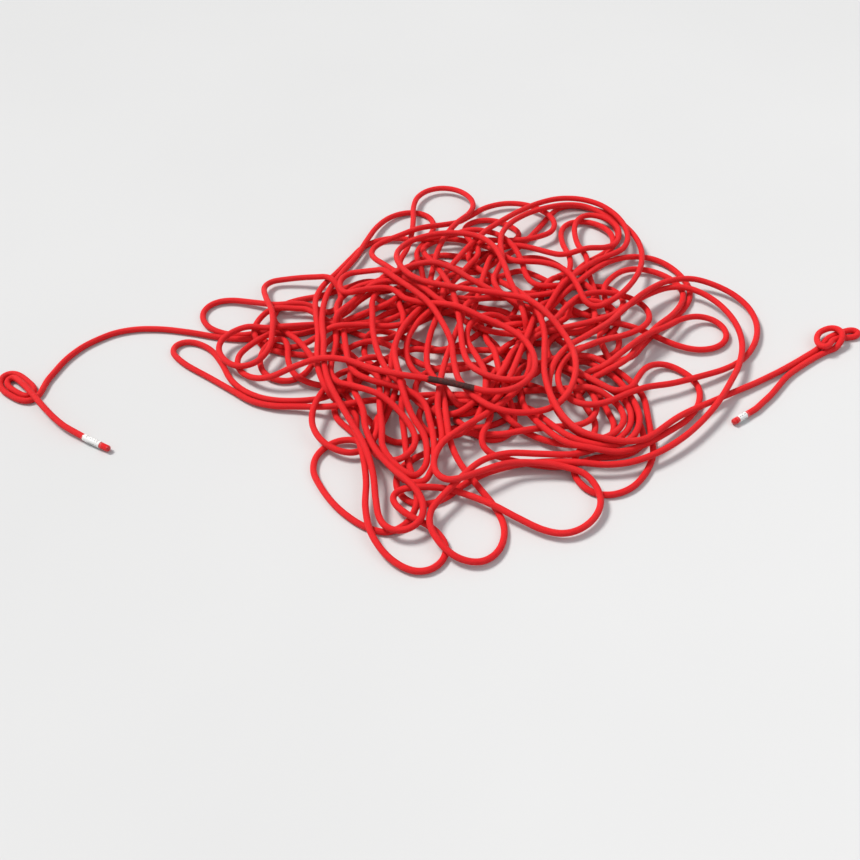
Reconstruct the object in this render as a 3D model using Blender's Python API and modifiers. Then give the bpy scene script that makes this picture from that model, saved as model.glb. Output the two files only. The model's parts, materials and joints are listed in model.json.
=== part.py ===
"""Dynamic climbing rope, flaked out in a loose heap with both ends tied off.

Frame: metres, +Z up, floor at z = 0.  +Y runs away from the front of the heap.
The origin is the middle of the whole rope's plan box, on the floor.

The rope is one kernmantle line.  Its route is a string of lays, each drawn in plan.
Lays carry a rank, which says who lies over whom.  They are joined end to end by
hidden turns through the heap, and the joined line is then let down until it rests
on itself without touching.  The line is last cut into the heap, the middle mark,
and the links and fittings of end a (left, -X) and end b (right, +X).
"""
import math
import bpy
import bmesh
import numpy as np

# ----------------------------------------------------------- dimensions (m)
UNIT = 0.0094            # one unit of the drawn plan
ROPE_D = 0.0100
ROPE_R = ROPE_D / 2
CLEAR = 0.0004           # gap kept between neighbouring turns
HINGE_GAP = 0.0022       # bend gap between two links
BUTT_GAP = 0.0003        # gap between butted runs
REST = ROPE_R * math.cos(math.pi / 6)   # centre height of a lay on the ground, flat side down
END_LIFT = 0.0061        # centre height of the sleeved ends
END_RUN = 0.17           # length held at that height
END_SLOPE_RUN = 0.06     # length in which it comes down to REST

# Bevel resolutions: a swept ring has 4 + 2 * resolution sides
ROPE_BEVEL = 1
FITTING_BEVEL = 2
STRAND_BEVEL = 0

# End fittings
SHEATH_T = 0.0009        # sheath wall
CORE_N = 7               # core strands round the middle one
CORE_R = 0.00093         # radius of each outer core strand
CORE_PITCH = 0.00235     # radius of the circle they run on
CORE_MID_R = 0.00112     # middle core strand
CORE_LAY = 0.085         # length in which the core turns once
CORE_STEP = 0.0062       # spacing of the core's stations
CORE_INSET = 0.0006      # core's set-back from each end of the sheath
TAPE_W = 0.0016          # tracer tape width
TAPE_T = 0.00015
TAPE_AT = 0.00350        # from the rope's axis to the tape
LABEL_R = ROPE_R + 0.0005
LABEL_T = 0.0002
SLEEVE_R = ROPE_R + 0.00105
SLEEVE_T = 0.00025
SLEEVE_OVER = 0.0035     # how far the clear sleeve passes the label, each way
TIP_L = 0.0035           # fused tip
FITTING_STEP = 0.008     # station spacing of the end fittings
LABELS = {"a": (0.0180, 0.031), "b": (0.0115, 0.016)}   # tip to label, label length
# Fused tip: share of its length, share of the rope's radius
TIP_PROFILE = [(0, 0.97), (0.35, 0.95), (0.65, 0.80), (0.87, 0.55), (1.0, 0.25)]

# Reference dome under the crown of the heap: centre, half axes, rise and rim height
DOME_C = (0.028, 0.122)
DOME_A = (0.282, 0.338)
DOME_H = 0.0244
DOME_0 = 0.0056

# Hidden turns, and the thick of the heap that hides them (an ellipse)
TURN_R = 0.043
TURN_STEP = 0.006
THICK_C = (-0.03, 0.11)
THICK_A = (0.16, 0.20)
TURN_DIP = 18            # ranks a full turn dives below the lays it joins
TURN_FULL = 0.15         # length from which a turn dives fully

# Choice of the order of lays
SHOW_COST = 6            # cost of a turn showing outside the thick of the heap
UNJOINED = 9.9           # cost of joining a lay to itself
MARK_COST = 6.0          # cost of the middle mark lying off the middle of the rope
MARK_SLACK = 0.02        # share of the rope it may be off for nothing
MARK_SHARE = (0.24, 0.76)   # share of the crown before the mark: as drawn, reversed
LEAST_GAIN = 1e-6

# Stations along the route
SPLINE_STEP = 0.004
FAIR_STEP = 0.003
SAG = 0.0022             # chord error of the faceted runs
STEP_MIN = 0.0048
STEP_MAX = 0.050
STEP_PER_RADIUS = 0.6    # longest chord, as a share of the bend radius
CUT_HALF = 0.005         # half the straight chord laid through every cut
CUT_KEEP_OFF = 0.002     # stations this close to a chord are dropped

# ----------------------------------------------------------- finishes
RED = (0.80, 0.035, 0.030)
WHITE = (0.86, 0.86, 0.83)
SHEATH_FINISH = dict(colour=RED, roughness=0.75, sheen=0.4)
MARK_FINISH = dict(colour=(0.045, 0.020, 0.018), roughness=0.8, sheen=0.4)
TIP_FINISH = dict(colour=(0.55, 0.02, 0.02), roughness=0.35)
LABEL_FINISH = dict(colour=WHITE, roughness=0.5)
SLEEVE_FINISH = dict(colour=(0.95, 0.95, 0.93), roughness=0.12, transmission=0.9, alpha=0.35)
CORE_FINISH = dict(colour=WHITE, roughness=0.8)
TAPE_FINISH = dict(colour=(0.05, 0.15, 0.55), roughness=0.4)

# ----------------------------------------------------------- the drawn plan
# Positions are x,y in plan units, in an oblique 45 degree projection of the heap:
# a point h above the reference dome is drawn h further back.

# Joints of the two loose ends, from the heap outward
BENDS_A = [(-47, 17.7), (-55, 18.9), (-62.4, 16.5), (-68.0, 9.2)]
TAIL_A = [(-69, 0.2), (-64, -5.6)]
BENDS_B = [(47.9, -3.0), (52.1, -0.85), (56.2, 1.6)]
TAIL_B = [(55, -1.8), (51, -6.55)]
MARK = [(-3.6, -1.2), (3.8, -3.8)]      # ends of the inked middle mark
MARK_RANK = 68                          # the mark lies on rope of at least this rank

# Each lay: name, rank, and points "x,y" or "x,y,rank" where the rank differs
LAYS = [
    # ---- lowest lays of the heap
    ("deep_a", 4, """-12.6,-10 -10.8,-3.5 -11.8,3 -14.8,8.5 -13.8,13.4 -9.2,14.2 -5.4,11.4
        -0.5,9.2 4.6,8.7 9,7.9"""),
    ("deep_b", 5, """-14.1,20.5 -11.2,22.4 -8.1,21.1 -4.5,20.6 -0.6,21.4 2.6,19.2 5.6,15.6
        8.5,11.7 11,7.6 14.2,5.4"""),
    ("deep_c", 6, """-6.5,-12.1 -3.4,-10.8 0.6,-9.7 4.6,-9.9 8.2,-8.4 10.6,-5.3 11.4,-1.3
        9.1,2.8 5.3,5.1 1.2,5.4 -2.6,4.5"""),
    ("deep_d", 7, """-3.6,35.2 0.6,36.5 4.7,35.7 8.7,36.6 12.6,34.3 16.2,35.2 20,33.9
        22.6,30.2 22.4,26"""),
    ("deep_e", 8, """-9.5,31.3 -6.2,32.6 -3.6,34.9 -0.2,33.7 2.4,31.1 5.4,30.3 8.4,31.8
        11,34.6 13.7,37.3"""),
    ("deep_f", 9, """20.2,8.7 23.2,5.9 26.6,5.6 29.2,7.6 29.4,11.4 26.6,13.6 22.9,12.6
        20.6,14.2 20.2,17.6 17.9,20.2"""),
    ("deep_g", 10, """-19.3,18.6 -17.2,20.6 -15.4,23.2 -12.1,25.3 -8.4,25.5 -4.8,26.3
        -1.8,24.4 0.4,21.4 3.7,20.4 7.3,21.5"""),
    ("deep_h", 11, """7.6,27 10.7,29 14.4,30.3 17.2,28.1 19.9,25.4 20.5,22.2 22,19.2
        24.5,17.1 27.4,16.6 30,17.9"""),
    ("deep_i", 12, """-17.8,-1 -15.2,1.6 -14.7,5 -16.8,8.4 -19.2,12 -18.7,15.4 -15.9,16.9
        -12.9,17.4 -10.8,19.6 -8.4,21"""),
    ("deep_j", 13, """2.5,-11.8 0.5,-8.7 2.2,-6 5.6,-4.4 8.6,-2.6 12,-1.2 15,-1.9 18.2,-3.4
        21,-2.4 23.4,0.4"""),
    # ---- left side
    ("left_hook", 16, """-31.3,12.8 -30,14.2 -28.5,13.6 -27.8,11.3 -27.6,8.4 -26.8,5.6
        -25.2,3.4 -23,1.8 -20.6,1.1 -18,1.4 -15.2,3.2"""),
    ("left_under", 18, """-33.4,15.2 -34,17.2 -33.4,19.8 -32.3,21.7 -30.6,22.9 -28.2,22.7
        -25.6,22.2 -23.8,20.6 -22.2,18.6"""),
    ("left_cross", 22, """-29.9,17.8 -28.4,16.1 -26.8,14.2 -25.2,11.8 -23.7,8.9 -22.6,6.4
        -21.4,3.6 -19.7,1.2"""),
    ("tongue", 24, """-14,-3.5 -17.6,-3.8 -21,-3.6 -24,-3.0 -27,-2.6 -29.8,-2.4 -32.1,-1.7
        -34.4,-0.2 -36.8,1.8 -39.7,4.1 -42.6,6.4 -45.2,8.4 -47.2,10.4 -48.3,12.4 -47.7,14.1
        -46,14.7 -43.7,14 -41.7,12.4 -40.3,10.3 -39.1,8 -38.1,5.6 -36.8,3.2 -35,1.3 -32.8,-0.2
        -30.3,-1.1 -27.3,-1.5 -24.4,-1.6 -21.8,-1.6 -19.6,-1"""),
    ("left_loops", 28, """-38,15.9,14 -39.9,16.6,16 -42.2,18.1,20 -43.8,20.6 -43.9,23.2
        -42.3,25.3 -39.7,25.9 -36.4,25.5 -33,24.3 -30.3,23.8 -27.6,24 -25.4,23.6 -23.4,22
        -21.6,20.5 -20,20.9,40 -19.1,23.1,44 -19.3,26.2,50 -20.4,29,52 -22.3,31,40 -25.4,31.4,30
        -28.8,31.1 -31.6,30.8 -33.1,29.4 -32.9,26.9 -31.9,24.3,36 -31,21.4,36 -30.5,18,36
        -30.4,14.6,36 -30.8,11.4,36 -32.4,8.7,36 -35,7.2,36 -37.6,8,32 -39.4,10.4,32
        -39.9,13.2,32 -38.8,15.5,32 -36.6,17.2,32 -33.8,17.7,32 -30.9,17.2,32 -28,17.4,32
        -25.2,17.3,32 -22.4,17,32 -19.6,16.6,20"""),
    # ---- lower left
    ("low_left_a", 26, """-20.2,1.4 -21.7,-2 -22.5,-4.6 -22.7,-7 -22.1,-9.4 -20.9,-11.6
        -19.2,-13.2 -16.9,-14.1 -14.6,-13.8 -13.1,-12 -12.5,-9 -12,-6 -11.4,-3 -10.8,0.2
        -10.5,3.4 -10.2,6.6 -9.3,9.8 -8.2,12.6 -7.3,15.4 -7.2,18.4 -7.7,21"""),
    ("low_left_b", 30, """-9.9,-6.2 -11.2,-8.9,24 -12.2,-11.6,24 -13.6,-13,24 -15.6,-12,22
        -17.9,-11.6,20 -20,-12.3,18 -21.6,-14,16 -22.4,-16.5 -22,-19.2 -20.7,-22 -19,-24.9
        -17,-27.4 -14.8,-29.4 -12.6,-30.7,24 -10.6,-31.2,22 -8.7,-30.4,22 -7.2,-28.7,26
        -6.4,-26.4,26 -6.2,-23.6,24 -6.7,-20.8,24 -7.3,-18,28 -7.6,-15.2 -7.8,-12.2 -8,-9
        -8.2,-6"""),
    ("low_left_c", 34, """-16.4,-0.4 -15.2,-3.4 -14.2,-6.4 -13.9,-9.3 -13.2,-12.1 -12,-14.8
        -10.5,-17.4 -8.6,-19.8 -6.7,-22.1 -5.3,-24.5 -5,-27 -5.9,-29.3 -7.8,-30.7,34 -9.9,-30.6
        -11.5,-29 -12.1,-26.2 -12.5,-23 -12.8,-19.6 -13.4,-16.2 -14.5,-12.8,40 -15.8,-9.4
        -17.2,-6 -18.4,-2.8 -19.4,0.4 -20.1,3.4,46 -20.5,7,48 -20.7,10.6,48 -21,14.2 -21.5,17.8
        -21.6,21.4 -21.2,24.8 -20.4,28 -19.3,30.8,44 -18,33.3 -16.7,35.9 -15.5,38.6,44
        -14.6,41.5,44 -13.7,44.3 -12.5,46.9 -10.9,49.2 -8.8,50.9 -6.3,51.6,30 -4,51.2,28
        -2.3,49.8,26 -1.6,47.7,26 -1.7,45.4,20 -2.7,42.8,18 -4,40.1,20 -5.1,37.7,20"""),
    ("low_left_d", 36, """-15.2,-7.5,28 -14.5,-11,28 -13.7,-14.6,30 -13.3,-18,32 -13.5,-21.4,32
        -13.7,-25 -13.5,-28.4,40 -12.7,-31.7,40 -11.3,-34.6 -9.5,-36.9 -7.5,-38.4 -5.4,-38.9
        -3.4,-38.1 -2.1,-36.3,24 -1.8,-34.3,22 -2.6,-32.2,22 -4,-30.3,22 -5.8,-28.8,22
        -7.6,-27.4,28 -9.1,-25.8 -9.7,-24.2 -8.9,-22.9 -7.3,-22.4,26 -5.2,-22.3,24 -2.9,-22.6,24
        -0.6,-22.9,28 1.7,-24.1 4.1,-25.5 6.4,-26.9,40 8.9,-29 11.6,-31 14.1,-32.4 16.8,-32.6
        19.2,-31.4 21.1,-29.3 22.1,-26.6,40 21.9,-23.7,40 20.9,-21.2 19,-19.3,40 16.3,-18.4
        13.2,-17.9 10,-17.9 7,-18.5 4.2,-19.7 1.7,-21,44 -0.8,-21.7,44 -2.7,-20.3 -3.2,-17.8,44
        -2.6,-15.2 -1,-12.9 1.4,-11 4,-9.2,44 6.6,-7.3 9,-5.2 11.1,-2.9 12.7,-0.2
        13.6,2.8,38"""),
    ("low_mid_a", 38, """-0.9,-13,30 -0.3,-15.8,30 0.9,-18.4,30 2.5,-20.9,28 4,-23.3,28
        5.4,-25.8,28 6.5,-28.4,30 7.1,-31.3 6.6,-34.2 5.1,-36.5 3,-37.5 0.7,-37 -1.3,-35.5,34
        -2.9,-33.2,34 -4,-30.6,34 -4.2,-28 -3.3,-25.7 -1.8,-23.8,30 -0.1,-21.9,30 1.4,-20
        3.3,-18.4 5.6,-17.2 8.2,-16.6 11,-16.5 14,-16.8 16.8,-17 19.6,-16.6,32 22.4,-15.6,26
        25.2,-14.4,24 27.4,-12.6,24 28.9,-10.2,24 29.4,-7.4,24 28.8,-4.8,26 27.2,-2.8,26
        25,-1.2,26 22.6,0.4,26"""),
    ("low_mid_b", 40, """-11.5,-3.2 -11.2,-6.2 -11.1,-9.4 -11.3,-12.4 -10.8,-15.1 -9.5,-17.3
        -7.8,-19.1 -6,-19.8 -4.5,-18.5 -4,-16 -4.4,-13.2 -5.4,-10.4 -6.7,-7.6 -7.7,-4.4 -8.2,-1
        -8.8,2.6 -9.3,6 -9.1,9.4 -8.2,12.4 -6.7,15.2 -4.8,17.6 -2.6,19.8"""),
    ("low_mid_c", 42, """-17.9,0.2 -15.5,-1 -13.2,-2.4 -11,-4 -9,-6.2 -7.2,-8.8 -6.2,-11.4
        -6,-13.8 -7.2,-15.6 -9,-16.7 -10.8,-16.2,36"""),
    ("low_mid_d", 41, """-13.6,1 -11,0 -8.4,-0.8,38 -6,-2.4 -4.4,-4.8 -3.7,-7.8 -3.5,-10.8
        -3.2,-13.8,38 -3.3,-16.6,38 -3.7,-19.2,36 -4.9,-21.1,34 -6.9,-21,34 -8.8,-19.4,30"""),
    # ---- right side
    ("right_low_a", 25, """6.6,-5.6 8.1,-7.9 9.9,-10.1 11.9,-11.9 14.2,-13.4 16.8,-14.5
        19.6,-14.9,24 22.4,-14.6,22"""),
    ("right_low_b", 27, """19,2.7 20.5,1.2 22.1,-0.5 23.3,-2.6 23.9,-5.1 23.6,-7.6 22.2,-9.7
        20.1,-10.8 17.3,-11.1 14.5,-11.3 11.8,-11.9 9,-12.4 6.1,-12.4 3.3,-12 0.7,-11.4,24
        -1.6,-10.6,22 -3.2,-8.6,22 -2.2,-6.3,26 0.4,-5.4,28 3.4,-5.6,28"""),
    ("right_low_c", 29, """5.6,-10.4 4.8,-12.2 4.5,-14.2 5.2,-16 7,-17.4 9.6,-18.2,22
        12.6,-18.9,20 15.6,-18.9,20 18.2,-18.2,22 20.6,-17.1,22 23.4,-16.9,22 26.4,-16.8,24"""),
    ("right_low_d", 31, """25.6,4.4 27.5,3.1 29.3,1.3 30.9,-0.8,30 31.9,-3.2 32.2,-6.2
        32.1,-9.2 32,-12.2,28 32.1,-15.2,22 31.5,-17.8,22 30.4,-20.2,24 28.8,-22.5 26.6,-24.4
        24,-25.2 21.7,-24.8,26 19.9,-23.2,26 18.9,-21,26 18.9,-18.7,24 19.8,-16.6,22
        21.2,-14.7,20 22.6,-13,20"""),
    ("right_low_e", 32, """24.6,3.4 26.6,1.7 28.3,-0.2 29.4,-2.4 30.2,-5 30.5,-7.8 30,-10.5
        28.9,-12.8 27,-14.2 24.6,-14.9,28 21.9,-14.8 19.2,-13.6 16.8,-11.8 15.2,-10.2,28
        13.9,-8.4,26"""),
    ("right_loop", 46, """23,-0.2,30 25,-1.6,32 27,-2.9,34 28.9,-2.8,36 30.4,-1.6,38
        31.4,0.3,40 32.3,2 33.8,3.6 35.7,4.3 37.6,3.8 39.5,2.4 41,0.4,34 41.7,-1.8,34
        41.5,-4.2,34 40.6,-6.6,30 38.9,-8.9 36.6,-10.8 34,-12.5 31.4,-14.1 28.8,-15.4
        25.9,-16.1 22.9,-16.1 20.1,-15.6 17.6,-14.4 15.5,-12.4 13.6,-10 12.2,-7.6,40
        11.6,-5,40"""),
    ("right_outer", 48, """20.2,-2.6,30 22.4,-2.2,30 24.7,-3.1,30 26.9,-5.2,30 28,-8,30
        27.3,-10.6,32 25.1,-12.6,34 22.3,-13.4,40 19.8,-12.2,44 17.9,-9.6,46 16.7,-6.5
        16.2,-3.4 16.5,-0.2 17.3,2.8 18.7,5.6 20.8,7.9 23.3,9.9 25.9,12 28.4,14.3 30.7,17
        33,19.7 35.4,22.1 38,24.3 40.8,26.2 43.8,27 47,26.2 50,24.1 52.7,21.2 54.3,17.5
        54.6,13.4 53.6,9.6 51.7,6.3 49,3.7,46 45.4,2,46 41.7,0.8,44 37.9,-0.3 34.2,-0.9
        31,-1.4,48 28.1,-3,48 25.4,-5 22.6,-6.1 20,-5.5 18.3,-3.2,44 17.9,-0.2,44 18.4,2.8
        20.1,5.5 22.8,7.7 26,9.4 29.2,10.7 32.2,12.2 34.7,14.4 35.8,17.2,40 35.3,20,38
        33.4,22,36 30.5,22.9,36 27.2,22.7,36 24.2,21.6 21.9,19.6,38 20,17.4,40 18.2,15.4,40
        16.2,14,36"""),
    ("right_second", 44, """16.6,11 18.6,11.8 21.2,12.6 24,13.7 26.9,15 29.5,16.6 31.8,18.7,44
        34,20.8 36.3,22.6 38.9,24,42 41.7,24.7,40 44.5,24,42 47.1,21.8 49.2,18.6 50.5,14.8
        50.8,10.6 50.2,6.6,50 48.7,2.8,50 46.7,-0.8 44.6,-4.2,42 42.1,-7.8 39.3,-11 36.1,-14
        32.7,-16.3 29.2,-17.9 25.7,-18.7 22.2,-18.4 19,-17.7 15.8,-17.8,30 12.6,-18.1,26
        9.6,-18.7,26 6.9,-19.6,26 4.3,-20.6,26 1.9,-21.8,24 -0.4,-23.8,20 -2.6,-25,18"""),
    ("right_tip_loop", 43, """23.8,1.4,30 26.3,2.9,34 28.4,4.9,38 30.4,7 32.5,9.1 34.8,11.1
        37.1,12.9 39.4,14.6 41.7,15.9 44,16.4 46.3,15.9 48.1,14.3 48.9,12.1 48.4,9.9 46.7,8.3
        44.4,7.7 41.9,8 39.5,9.2 37.3,10.8,36 35.2,12.4,32 32.9,13.6,28 30.5,14.1,28
        28,13.9,28 25.5,12.9,28 23,12.1,26"""),
    ("right_ear_a", 37, """27,12 28.4,14.4,20 28.9,17,20 28.8,20,24 28.7,22.8,26 29.2,25.4
        30.3,27.7 31.9,29.5 33.9,30.6 36.3,30.7 38.6,29.9 40.6,28.5 42.2,26.6,36 43.1,24.3,36
        43,21.9,38 41.9,19.5 40.1,17.2 37.9,15.2 35.7,13.2 33.7,11 31.9,8.5 30.1,6 27.9,3.8
        25.4,2,36"""),
    ("right_ear_b", 33, """18.4,18.2 19.8,20.8 21.4,23.4 23.2,25.8 25.1,28 27,30 28.9,31.9
        31.2,33.5 33.8,34.4 36.4,34.5,33 38.8,34 40.9,32.6 42.6,30.6 43.8,28.2,30 44.5,25.6,30
        44.5,23,36 43.6,20.6 42.2,18.3 40.2,16.1 37.9,13.9 35.8,11.6 34,9.1,33 32.1,6.4,32
        29.8,4.4,30 27,3,28"""),
    # ---- top side
    ("top_left", 35, """-20.2,-1.2,30 -21.2,1.8,34 -22.1,5,38 -22.3,8.4,42 -22.1,12,44
        -22.4,15.6,44 -22.9,19.2,44 -23.3,22.6,42 -23.2,25.8,42 -22.2,28.6,42 -20.6,31.2,44
        -19.1,33.7,44 -17.6,36.4,40 -16.3,39,38 -14.6,41.1,36 -12.3,42.3,34 -9.8,42.6,34
        -7.3,41.9,30 -4.8,41.1,28 -2.2,40.7,28 0.4,40.8,30 2.8,41.6,32 5.1,42.3 7.5,42.2
        9.7,41.1 11.6,39.4,40 13,37.2,40 14,34.6,38 14.5,31.8,38 14.8,29,36 15.3,26.4,30
        16.8,24.5,28 19,24.1,26"""),
    ("top_arch", 39, """0,18.8,36 -2.2,20.8,40 -4.3,23 -6.3,25.5,46 -8.4,28.2,46 -10.2,31,44
        -12.2,33.5,40 -13.4,36.2 -12.7,38.7 -10.5,40.4 -8,41.7,42 -5.7,43.2,42 -3,44.4,42
        -0.1,45.2,40 2.6,46,40 4.6,47.7,40 6.3,49.7,40 8.2,51.4 10.6,52.6 13.3,53.1 16,52.7,32
        18.3,51.5,28 20.3,49.7,28 21.6,47.4,36 21.8,44.9 20.6,42.6 18.4,40.8 15.8,39.6
        13.1,39.3,34 10.4,39.1,30 7.8,38.4,26"""),
    ("top_tall", 37, """-7.4,25.6,34 -8.2,28.8,36 -8.3,31.8,36 -7.8,34.6,34 -6.8,37.2,32
        -6,40,30 -5.6,43,36 -5.4,46.4,40 -5.3,50,44 -5.2,53.4,44 -4.5,56.1 -2.9,58.1 -0.6,59.1
        1.9,58.9 4.2,57.6 5.8,55.5 6.5,53 6.1,50.4,44 4.9,47.9,44 3.3,45.5,42 1.7,42.9,38
        0.5,40.1,34 -0.6,37.2,32 -1.5,34.2,32 -1.9,31.2,34 -2.1,28.2,34 -2.3,25.2,30"""),
    ("top_small", 31, """6.4,37.6,24 5.2,40,26 4.5,42.8,28 4.9,45.5,32 6.8,47.3 9.3,48
        11.8,47.1,28 13.8,45.2,24 14.9,42.9,28 14.2,40.8,28 12.2,39.4,24 9.9,37.6,20
        8.2,35.4,18"""),
    ("top_diag", 47, """-3.4,24.2,30 -1.2,27.4,36 0.9,30.6,40 2.9,33.7,44 4.8,36.8,44
        6.9,39.6,46 9.2,42.2,48 11.5,44.8,48 13.8,47.3 16.1,49.6 18.6,51.6 21.5,53.1 24.8,53.7
        28,53.1 30.9,51.5 33.1,49 34.6,45.8 35.3,42.4 35,39.2 33.7,36.6 31.5,34.8 29,33.4
        26.8,31.4 24.4,29 22,26.6 20.1,23.9 18.6,21 17.2,18.2 16,15.2,36"""),
    ("top_diag_b", 45, """14.3,16.8,40 12.3,19.2,42 10.3,21.6,42 9,24.3,44 9,27.1,44
        10.2,29.7,44 10.9,32.6,44 10.7,35.8,44 10.9,39,46 12,42,46 13.6,44.9 15.9,47.4
        18.7,49.7 21.8,51.1 25.1,51.7 28.3,51.2 31,49.3 32.9,46.7,42 34,43.7,40 34,40.7,36
        32.9,38.1,28 31,35.8,28 28.8,33.7,30 26.5,31.2,28 24.1,28.2,24 22.3,25,22"""),
    ("top_ear", 42, """14.6,37 17,36.2,36 19.4,35,38 21.8,34.1,42 24.4,34.8,44 27,35.6,44
        29.7,36.3,44 32,37.6,44 33.4,40.1 33.8,43 32.9,45.5 30.9,47.4 28.4,48 26.4,46.6,40
        25.3,44 24.9,41 24.9,37.9,38 25.2,34.8,34 25.5,31.7,30 25.8,28.7,26 26.5,25.6,24
        27.1,22.8,20"""),
    ("top_ear_b", 34, """22.9,26.6,26 23.7,29.6,28 24,32.6,30 23.6,35.6,34 23,38.6,36
        22.9,41.6,36 23.4,44.1 24.8,45.9 26.8,46.5,32 28.9,46 30.8,44.7 32,42.6 32.3,40.1,34
        31.7,37.7,34 30.4,35.4,30 28.6,33.2,28 26.4,30.8,26"""),
    ("right_sweep", 49, """27.6,51.6,30 30.2,50.4,32 32.5,48.4,34 34.3,46,38 35.8,43.2
        36.8,40.2 37.2,36.9 36.8,33.4,52 35.9,30.1,52 34.6,27.1,48 32.8,24.4,46 30.9,21.7,46
        28.6,19.5,46 25.9,18.4,46 24.3,20.1,46 23.6,23,48 22.8,26,50 21.4,28.7,52 19.3,30.6,52
        16.7,31.4,50 14,31.4,48 11.9,32.9,44 10.2,35.2,34 8.6,37.6,28"""),
    # ---- centre
    ("mid_a", 50, """-12.4,23.8,34 -13.3,20.4,38 -13.1,17 -13.1,13.6 -12.8,10.2 -12.2,7
        -11.2,3.8 -10,0.8,40 -8.2,-1.8,38 -6.6,-4.4,34"""),
    ("mid_b", 51, """-1.6,19.4,38 -3.4,17 -5.2,14.6 -6.5,11.9 -7.2,9 -7.2,6 -6.5,3.2 -5.1,1
        -3.1,-0.4,44 -1,-1.8,40 0.4,-4.2,36"""),
    ("mid_c", 52, """-1.2,18.4,40 -1.9,15.4 -2.7,12.3 -3.4,9.2 -3.7,6 -3.6,3 -2.6,0.4
        -1.6,-2.4,40 -1.6,-5.6,36 -1.4,-8.8,32"""),
    ("mid_d", 53, """2.2,17,42 1.6,13.9 1,10.8 0.3,7.7 -0.3,4.7 -0.8,1.6 -1,-1.5,46
        -1.1,-4.8,42 -1,-8,38 -0.8,-11,34"""),
    ("mid_e", 56, """-3,35,30 -1.6,32.1,40 -0.7,29.1,48 0.6,26.2,54 1.5,23.2 2.1,20 2.6,16.6
        2.7,13.2 2.6,9.8 2.6,6.5 3.1,3.3 4.4,0.7 6.6,-0.9 9.2,-1.4 11.8,-0.9 14,0.4,46
        15.9,2.6,42"""),
    ("mid_f", 48, """3.4,10.8,40 3.6,7.6 4.8,4.8 5.8,1.8 5.9,-1.4 5.3,-4.6 4.5,-7.8,40
        3.2,-10.4,34"""),
    ("mid_g", 47, """12.1,9.4 10.4,6.4 9.2,3.3 8.1,0.1 6.9,-2.8 5.2,-5.2 2.8,-7.2,38
        0,-8,34"""),
    ("mid_h", 49, """15.2,14.8,42 14.1,11.6 12.9,8.3 11.8,5 10.6,1.7 9.4,-1.5 8,-4.4
        6,-6.8,42 3.4,-8.2,36"""),
    ("mid_i", 46, "7,9.2,30 8,6.6,34 8.4,3.9 8.6,1 9.1,-2 9.8,-5,36"),
    ("mid_j", 45, """-19.5,17.2,30 -17.9,20.2,36 -15.9,22.8,40 -14.1,25.6,40 -11.4,27.1
        -8.5,26.8,38 -6,25,36"""),
    ("mid_k", 44, """-19.4,22.2,36 -18.1,24.3,30 -16,25.8,34 -13.2,26.6,36 -10.4,27.4,38
        -8.2,28.6,48 -5.5,29.3,54 -2.8,29.6,56 -0.2,28.9,56 2.1,27.3,56 4.2,25.6,54 6.5,24,52
        8.6,22,50 10.7,20,48 12.9,18.1,46 15,15.9,40 16.1,13,36"""),
    ("mid_l", 30, """8.6,11.2 11.4,10.8 14.2,11.2 17,12.8 19.6,14 21.7,15.8 22.1,18.4
        23.8,20.4 26.6,20.2"""),
    ("mid_m", 28, """17.6,9.2 19,11 21.8,11.1 24.2,11.8 26.1,13.9 26.4,16.8 26.2,19.8
        26.8,22.8 25.2,25.4"""),
    # ---- turns in the thick of the heap that only show in the gaps
    ("deep_k", 14, """-14,3 -10.5,6 -6,8 -1.5,7.5 3,9.5 6,13 5,17 1,18.5 -3.5,17 -7,14"""),
    ("deep_l", 12, """-24,6 -22.4,9 -20.5,12.5 -17.5,15 -13.5,16 -9,17.5 -5,20 -2,23.5
        -1,27.5"""),
    ("deep_m", 13, """-19,10 -14,11.5 -10,10 -6.5,6.5 -3,3.5 1,2.5 5,3.5 9,5.5 12.5,8.5
        14,12.5 12.5,16.5"""),
    ("deep_n", 15, """-12,27.5 -8,24.5 -3.5,23 1,24 4.5,26.5 8.5,27 12,24.5 13.5,20.5
        12,16.5"""),
    # ---- crown: the long run laid last, which carries the middle mark
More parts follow.
